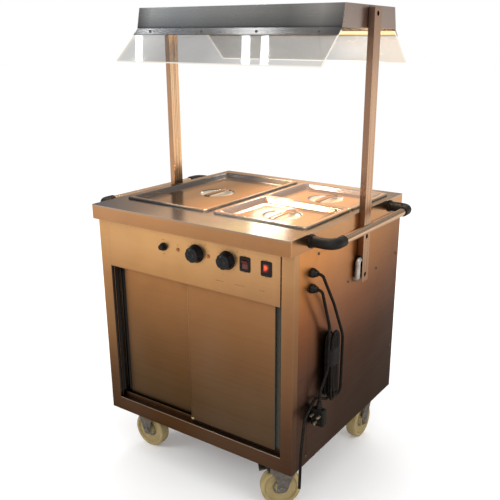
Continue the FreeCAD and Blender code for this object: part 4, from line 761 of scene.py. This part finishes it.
def door_trim():
    """Dark liners in the finger channels, standing for the shade in them (the right one a lighter copy,
    painted light), their outer lips in painted shade, a corner guide, and dark strips in the door jambs which
    are painted shade there; also a hem down the right door's seam, a sill hem in painted highlight and a
    fascia hem.
    """
    for side, name in ((-1, "left"), (1, "right")):
        body = "door_" + name
        low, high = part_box(body)
        edge = low.x if side < 0 else high.x
        inward = -side
        face, floor = low.y + 0.0002, low.y + 0.0088
        inner = edge + inward * 0.0218
        lined, gauge = edge + inward * 0.0026, 0.0012
        outline = [(lined, floor), (inner, floor), (inner, face), (inner - inward * gauge, face),
                   (inner - inward * gauge, floor - gauge), (lined, floor - gauge)]
        # Painted shade: a dark liner fills the finger channel where there is only shade.
        upright_section("grip_shade_liner_" + name, outline, low.z + 0.001, high.z - 0.001, LINERS[name], body)
        outer, lip = sorted((edge, edge + inward * 0.0024))
        # The lips take the steel's darker copy, which is painted shade.
        soft_bar("grip_lip_" + name, (outer, face, low.z + 0.0006), (lip, floor, high.z - 0.0006), 2, 0.0005,
                 SHADED_LIP, body)
        # Painted shade: dark strips on the insides of the jambs, where there is only shade.
        jamb = side * 0.3249
        for i, (front, back) in enumerate(((-0.3292, -0.3226), (-0.3198, -0.3030))):
            near, far = sorted((jamb, jamb + inward * 0.0022))
            soft_bar("jamb_shade_strip_%s_%d" % (name, i), (near, front, 0.2305), (far, back, 0.6865), 2, 0.0006,
                     CHANNEL, ROOT)
    low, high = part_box("door_right")
    soft_bar("seam_hem", (low.x - 0.0006, low.y - 0.0005, low.z + 0.001),
             (low.x + 0.0034, low.y + 0.0006, high.z - 0.001), 2, 0.0005, DOORS, "door_right")
    soft_bar("corner_guide", (low.x - 0.0008, low.y - 0.0012, low.z - 0.0006),
             (low.x + 0.0100, low.y + 0.0030, low.z + 0.0060), 0, 0.0010, NYLON, "door_right")
    # Sill hem in the paler steel, which is a painted highlight on the edge of the rail.
    soft_bar("sill_hem", (-OPENING, -0.3308, 0.2108), (OPENING, -0.3280, 0.2137), 0, 0.0012, HIGHLIGHT_HEM, ROOT)
    soft_bar("fascia_hem", (-OPENING, -0.3306, 0.6862), (0.3206, -0.3285, 0.6884), 0, 0.0009, FRONT, ROOT)


def raised_bar(bm, middle, along, across, size, rise):
    """Adds one low bar with eased sides, lying in the plane of its two directions and raised off it."""
    along, across = Vector(along).normalized(), Vector(across).normalized()
    outward = along.cross(across)
    corners = []
    for u, v, out in ((-1, -1, 0), (1, -1, 0), (1, 1, 0), (-1, 1, 0),
                      (-1, -1, 1), (1, -1, 1), (1, 1, 1), (-1, 1, 1)):
        ease = 0.86 if out else 1.0
        spot = along * (u * size[0] / 2 * ease) + across * (v * size[1] / 2 * ease) + outward * (out * rise)
        corners.append(bm.verts.new(Vector(middle) + spot))
    for face in ((3, 2, 1, 0), (4, 5, 6, 7), (0, 1, 5, 4), (1, 2, 6, 5), (2, 3, 7, 6), (3, 0, 4, 7)):
        bm.faces.new([corners[i] for i in face])


def mark(bm, centre, along, length, width, rise):
    """Adds one raised bar in the plane of the control panel."""
    along = Vector(along).normalized()
    raised_bar(bm, centre, along, Vector((-along.z, 0, along.x)), (length, width), rise)


CONTROLS_HEIGHT = 0.788
PRINT = 0.00012  # how far a printed mark stands off the panel


def panel_marks():
    """Generic dial ticks round both knobs, and a short dash by every other control."""
    bm = bmesh.new()
    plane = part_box("control_panel")[0].y - 0.00002
    level = (1, 0, 0)
    for which in ("knob_left", "knob_right"):
        low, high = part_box(which)
        x, z = (low.x + high.x) / 2, (low.z + high.z) / 2
        for i in range(11):
            angle = math.radians(225 - 27 * i)
            ray = Vector((math.cos(angle), 0, math.sin(angle)))
            size = 0.0046 if i % 5 == 0 else 0.0030
            mark(bm, Vector((x, plane, z)) + ray * 0.0325, ray, size, 0.0010, PRINT)
        mark(bm, (x + 0.036, plane, z + 0.030), level, 0.0060, 0.0008, PRINT)
        mark(bm, (x + 0.036, plane, z + 0.0335), level, 0.0036, 0.0008, PRINT)
    for which, reach in (("rocker_left", 0.0235), ("rocker_right", 0.0235), ("reset_button", 0.0215)):
        low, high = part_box(which)
        for up in (1, -1):
            centre = ((low.x + high.x) / 2, plane, CONTROLS_HEIGHT + up * reach)
            mark(bm, centre, level, 0.0090, 0.0011, PRINT)
    for x in (-0.038, 0.076):
        mark(bm, (x, plane, 0.802), level, 0.0060, 0.0010, PRINT)
    for x, length in ((0.115, 0.030), (0.185, 0.034), (0.262, 0.016)):
        mark(bm, (x, plane, 0.722), level, length, 0.0009, PRINT)
    add_piece("panel_marks", finished_mesh("panel_marks", bm), INK, ROOT, 30)


def switch_bezels():
    """Moulded surround of each rocker switch, and a dark strip under the worktop's front edge which is
    painted shadow.
    """
    for which in ("left", "right"):
        low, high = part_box("rocker_" + which)
        x, z = (low.x + high.x) / 2, CONTROLS_HEIGHT
        rings = []
        for inset, y in ((0.0, -0.3299), (0.0, -0.3318), (0.0008, -0.3328), (0.0026, -0.3332),
                         (0.0044, -0.3328), (0.0048, -0.3299)):
            ring = rounded_rectangle(x - 0.0176 + inset, x + 0.0176 - inset, z - 0.0215 + inset,
                                     z + 0.0215 - inset, 0.0042 - inset * 0.5, 0, 4, 2)
            rings.append([Vector((point.x, y, point.y)) for point in ring])
        name = "switch_bezel_" + which
        add_piece(name, loft(name, rings, closed=True), BLACK, ROOT, 40)
    # Painted shadow: a dark strip where the worktop's edge shades the fascia.
    soft_bar("worktop_edge_shadow", (-OPENING, -0.3310, 0.8376), (OPENING, -0.3290, 0.8398), 0, 0.0006, CHANNEL,
             ROOT)


def knob_details():
    """A raised pointer line and a ringed cap on the face of each knob."""
    for which in ("left", "right"):
        body = "knob_" + which
        low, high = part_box(body)
        centre = Vector(((low.x + high.x) / 2, low.y, (low.z + high.z) / 2))
        cap = turned("knob_cap_" + which, centre, Vector((0, -1, 0)),
                     [(-0.0012, 0.0124), (0.0002, 0.0122), (0.0007, 0.0114), (0.0007, 0.0104),
                      (0.0002, 0.0098), (0.0002, 0.0040), (-0.0003, 0.0030)], 40)
        add_piece(cap.name, cap, KNOBS, body, 40)
        bm = bmesh.new()
        ray = Vector((math.cos(math.radians(110)), 0, math.sin(math.radians(110))))
        mark(bm, centre + ray * 0.0168 + Vector((0, 0.0001, 0)), ray, 0.0062, 0.0014, 0.0004)
        name = "knob_pointer_" + which
        add_piece(name, finished_mesh(name, bm), POINTER, body, 30)


# ------------------------------------------------------------------ cords and plug

def cord_details():
    """Extra turns of cord in the hank, its rubber strap, the gland nuts, and the plug's sleeve and pins."""
    turns = [(0.3932, -0.1215, -0.1400, 0.352, 0.560), (0.3926, -0.1390, -0.1580, 0.346, 0.552),
             (0.3938, -0.1300, -0.1500, 0.372, 0.566), (0.3709, -0.1240, -0.1440, 0.350, 0.556),
             (0.3712, -0.1370, -0.1560, 0.356, 0.548)]
    for i, (x, near, far, low, high) in enumerate(turns):
        bend = 0.012
        points = [(x, near, low + bend), (x, near + 0.001, (low + high) / 2 - 0.05),
                  (x - 0.001, near - 0.002, 0.484), (x, near + 0.001, high - 0.05), (x, near, high - bend),
                  (x, near - 0.003, high),
                  (x, far + 0.003, high), (x, far, high - bend), (x, far - 0.001, high - 0.05),
                  (x - 0.001, far + 0.002, 0.484), (x, far - 0.001, (low + high) / 2 - 0.05),
                  (x, far, low + bend),
                  (x, far + 0.003, low), (x, near - 0.003, low)]
        wire_piece("hank_turn_%d" % i, points, 0.0043, CORD, ROOT, True)
    rings = []
    for z, inset in ((0.4570, 0.0040), (0.4580, 0.0015), (0.4620, 0.0004), (0.4740, 0.0), (0.4860, 0.0008),
                     (0.4980, 0.0), (0.5100, 0.0004), (0.5140, 0.0015), (0.5150, 0.0040)):
        rings.append(rounded_rectangle(0.3656 + inset, 0.3992 - inset, -0.1650 + inset, -0.1120 - inset,
                                       0.0120 - inset, z, 6, 3))
    add_piece("hank_strap", loft("hank_strap", rings, True, True), STRAP, ROOT, 50)

    for word, z in (("upper", 0.769), ("lower", 0.723)):
        rings = []
        for along, swell in ((0.3652, 0.0), (0.3658, 0.0008), (0.3706, 0.0008), (0.3716, 0.0)):
            ring = []
            for i in range(72):
                angle = math.tau * i / 72
                radius = 0.0131 + swell * (0.55 + 0.45 * math.cos(12 * angle))
                ring.append(Vector((along, -0.238 + radius * math.cos(angle), z + radius * math.sin(angle))))
            rings.append(ring)
        name = "gland_nut_" + word
        add_piece(name, loft(name, rings, True, True), BLACK, ROOT, 45)

    profile = []
    for i in range(5):
        along, radius = 0.0030 + i * 0.0046, 0.0098 - i * 0.0007
        profile += [(along, radius - 0.0012), (along + 0.0006, radius), (along + 0.0026, radius),
                    (along + 0.0032, radius - 0.0012)]
    sleeve = turned("plug_sleeve", Vector((0.3885, -0.218, 0.3440)), Vector((0, 0, 1)), profile, 32)
    add_piece("plug_sleeve", sleeve, BLACK, ROOT, 45)
    for i, (u, width, z, height) in enumerate(((0, 4, 308, 8), (-11.1, 6.3, 330, 4), (11.1, 6.3, 330, 4))):
        x = 388.5 + u
        low = Vector((x - width / 2 - 0.25, -249.3, z - height / 2 - 0.25)) * MM
        high = Vector((x + width / 2 + 0.25, -231.8, z + height / 2 + 0.25)) * MM
        soft_bar("plug_pin_%d" % i, low, high, 1, 0.0006, BRASS, ROOT)


# ------------------------------------------------------------------ castors and screws

def castor_details():
    """Bearing rings in the wheels, hexagon nuts on the axles and a dust ring round each swivel."""
    for word, place in CASTORS.items():
        low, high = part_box("castor_wheel_" + word)
        hub = (low + high) / 2
        pivot = Vector((*place, 0))
        trail = Vector((hub.x - pivot.x, hub.y - pivot.y, 0)).normalized()
        axis = Vector((-trail.y, trail.x, 0))
        for sign, face in ((-1, "a"), (1, "b")):
            ring = turned("bearing_ring_%s_%s" % (word, face), hub + axis * sign * 0.0102, axis * sign,
                          [(0.0, 0.0262), (0.0016, 0.0258), (0.0022, 0.0246), (0.0022, 0.0226),
                           (0.0016, 0.0216), (0.0012, 0.0205), (0.0012, 0.0196), (0.0004, 0.0192)], 48)
            add_piece(ring.name, ring, ZINC, "castor_wheel_" + word, 40)
            nut = turned("axle_nut_%s_%s" % (word, face), hub + axis * sign * 0.0264, axis * sign,
                         [(0.0, 0.0128), (0.0012, 0.0130), (0.0014, 0.0112), (0.0052, 0.0112),
                          (0.0061, 0.0104), (0.0062, 0.0062), (0.0068, 0.0056)], 6)
            add_piece(nut.name, nut, ZINC, "castor_fork_" + word, 25)
        dust = turned("dust_ring_" + word, Vector((pivot.x, pivot.y, 0.1462)), Vector((0, 0, 1)),
                      [(0.0, 0.0288), (0.0006, 0.0298), (0.0030, 0.0302), (0.0058, 0.0298),
                       (0.0064, 0.0288)], 48)
        add_piece(dust.name, dust, CHANNEL, ROOT, 40)


def screw_recess_shade():
    """A dark cross raised off the head of every small screw: painted shade standing for its cross recess."""
    bm = bmesh.new()
    bm.from_mesh(nodes["pan_head_screws"].data)
    bmesh.ops.remove_doubles(bm, verts=bm.verts, dist=JOINING_DISTANCE)
    left = set(bm.verts)
    heads = []
    while left:
        island, queue = [], [left.pop()]
        while queue:
            vert = queue.pop()
            island.append(vert.co.copy())
            for edge in vert.link_edges:
                other = edge.other_vert(vert)
                if other in left:
                    left.discard(other)
                    queue.append(other)
        heads.append(island)
    bm.free()
    # Each cross is a dark raised mark, painted shade in place of a recess.
    marks = bmesh.new()
    for island in heads:
        centre = sum(island, Vector()) / len(island)
        if centre.z > 1.2:
            normal = Vector((0, -0.679 if centre.y < 0.055 else 0.679, 0.734))
        else:
            normal = Vector((1 if centre.x > 0 else -1, 0, 0))
        crown = max((point - centre).dot(normal) for point in island)
        middle = centre + normal * (crown - 0.00005)
        side = normal.orthogonal().normalized()
        up = normal.cross(side)
        for a, b in ((side, up), (up, side)):
            if a.cross(b).dot(normal) < 0:
                b = -b
            raised_bar(marks, middle - normal * 0.0001, a, b, (0.0034, 0.00084), 0.00022)
    add_piece("screw_recess_shade", finished_mesh("screw_recess_shade", marks), CHANNEL, ROOT, 30)


def hood_seams():
    """The slanting joint either side of the post on both ends of the hood."""
    bm = bmesh.new()
    for end in (-1, 1):
        for way in (-1, 1):
            top = Vector((end * 0.36495, 0.055 + way * 0.0250, 1.4600))
            foot = Vector((end * 0.36495, 0.055 + way * 0.0580, 1.4065))
            along = (foot - top).normalized()
            across = Vector((end, 0, 0)).cross(along)
            raised_bar(bm, (top + foot) / 2, along, across, ((foot - top).length, 0.0013), 0.0002)
    add_piece("hood_seams", finished_mesh("hood_seams", bm), CHANNEL, ROOT, 30)


# ------------------------------------------------------------------ stage

def camera_at_photo_angle():
    """Camera in front of the right-hand corner, a little above the worktop."""
    data = bpy.data.cameras.new("camera")
    camera = bpy.data.objects.new("camera", data)
    bpy.context.scene.collection.objects.link(camera)
    bpy.context.scene.camera = camera
    yaw, pitch, roll = math.radians(33.52), math.radians(-18.586), math.radians(0.324)
    ahead = Vector((-math.sin(yaw) * math.cos(pitch), math.cos(yaw) * math.cos(pitch), math.sin(pitch)))
    camera.location = (1.2456, -1.7598, 1.3712)
    camera.rotation_mode = "QUATERNION"
    tilt = Matrix.Rotation(roll, 3, "Z").to_quaternion()
    camera.rotation_quaternion = ahead.to_track_quat("-Z", "Y") @ tilt
    data.sensor_width = 36
    data.lens = 48.77
    data.shift_x = -0.0468
    data.shift_y = 0.0366
    data.clip_end = 60


def area_light(name, place, target, size, power, colour=(1, 1, 1)):
    """A rectangular lamp that the camera doesn't see, aimed at a target."""
    data = bpy.data.lights.new(name, "AREA")
    data.shape = "RECTANGLE"
    data.size, data.size_y = size
    data.energy = power
    data.color = colour
    light = bpy.data.objects.new(name, data)
    bpy.context.scene.collection.objects.link(light)
    light.location = place
    light.rotation_mode = "QUATERNION"
    light.rotation_quaternion = (Vector(target) - Vector(place)).to_track_quat("-Z", "Y")
    light.visible_camera = False
    return light


def surround():
    """White surround, which polished steel sees as a room: light and dark heights, a soft box overhead, a
    warm lit wall behind the object, which only its top faces see, and soft upright bands."""
    g = Graph("surround", world=True)

    def patch(azimuth, flat, up, low, high):
        """One near a direction, nought away from it; low and high are the cosines between which it fades."""
        angle = math.radians(azimuth)
        aim = (math.cos(angle) * flat, math.sin(angle) * flat, up)
        along = g.node("VectorMath", {0: g.points, 1: aim}, operation="DOT_PRODUCT").outputs["Value"]
        return g.spread(along, low, high)

    room = g.ramp(g.spread(g.height, -0.3, 1.0), [
        (0.0, rgb(0.50, 0.42, 0.34)), (0.22, rgb(0.62, 0.54, 0.46)), (0.34, rgb(0.26, 0.245, 0.235)),
        (0.50, rgb(0.20, 0.20, 0.205)), (0.70, rgb(0.48, 0.47, 0.46)), (1.0, rgb(0.50, 0.51, 0.54))])
    room = g.mix(patch(-56, 0.62, 0.785, 0.90, 0.965), room, rgb(2.2, 2.0, 1.7))
    room = g.mix(patch(125, 0.97, 0.24, 0.972, 0.996), room, rgb(1.05, 0.62, 0.33))
    bands = g.spread(g.noise(4.0, 2.0, (1.0, 1.0, 0.12)), 0.35, 0.65, 0.7, 1.35)
    plain = g.node("Background", {0: rgb(1.0, 1.0, 1.0)}).outputs[0]
    mirrored = g.node("Background", {0: room, 1: bands}).outputs[0]
    glossy = g.node("LightPath").outputs["Is Glossy Ray"]
    return g.done(g.node("MixShader", {0: glossy, 1: plain, 2: mirrored}).outputs[0])


def stage_and_light():
    """Pale floor, white surround, soft boxes, and the warm light of the two lamps."""
    scene = bpy.context.scene
    scene.view_settings.view_transform = "Standard"
    scene.view_settings.look = "None"
    half = 30
    bm = bmesh.new()
    corners = ((-half, -half), (half, -half), (half, half), (-half, half))
    bm.faces.new([bm.verts.new((x, y, 0)) for x, y in corners])
    mesh = bpy.data.meshes.new("floor")
    bm.to_mesh(mesh)
    bm.free()
    mesh.materials.append(pale_floor())
    floor = bpy.data.objects.new("floor", mesh)
    scene.collection.objects.link(floor)

    scene.world = surround()
    for name, place, power in (("key_box", (-2.4, -2.8, 2.8), 45), ("fill_box", (2.8, -0.6, 2.2), 24),
                               ("rear_box", (-0.8, 3.0, 2.4), 30)):
        area_light(name, place, (0, 0, 0.7), (1.6, 1.4), power).visible_glossy = False
    for i, (x, width) in enumerate(((-2.41, 0.062), (-1.459, 0.062), (-1.312, 0.058))):
        tube = area_light("ceiling_tube_%d" % i, (x, -0.05, 3.5), (x, -0.05, 0), (width, 1.5), 5.0,
                          (0.94, 0.97, 1.0))
        tube.visible_diffuse = False
    card = area_light("top_glare", (-0.435, 0.74, 1.235), (0.235, -0.33, 0.885), (0.16, 0.10), 0.30,
                      (1.0, 0.97, 0.92))
    card.visible_diffuse = False
    lamps_low, lamps_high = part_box("quartz_lamps")
    middle_y, height = (lamps_low.y + lamps_high.y) / 2, lamps_low.z - 0.004
    for i, x in enumerate((-0.172, 0.172)):
        area_light("lamp_glow_%d" % i, (x, middle_y, height), (x, middle_y, 0), (0.29, 0.02), 2.5,
                   (1.0, 0.70, 0.40))
    area_light("flange_glow", (0.0, 0.10, 1.398), (0.0, 0.243, 1.392), (0.64, 0.012), 1.6, (1.0, 0.66, 0.34))


finish_cad_nodes()
for which in ("full", "front", "rear"):
    pan_piece(which)
    lid_piece(which)
door_trim()
panel_marks()
switch_bezels()
knob_details()
cord_details()
castor_details()
screw_recess_shade()
hood_seams()
camera_at_photo_angle()
stage_and_light()
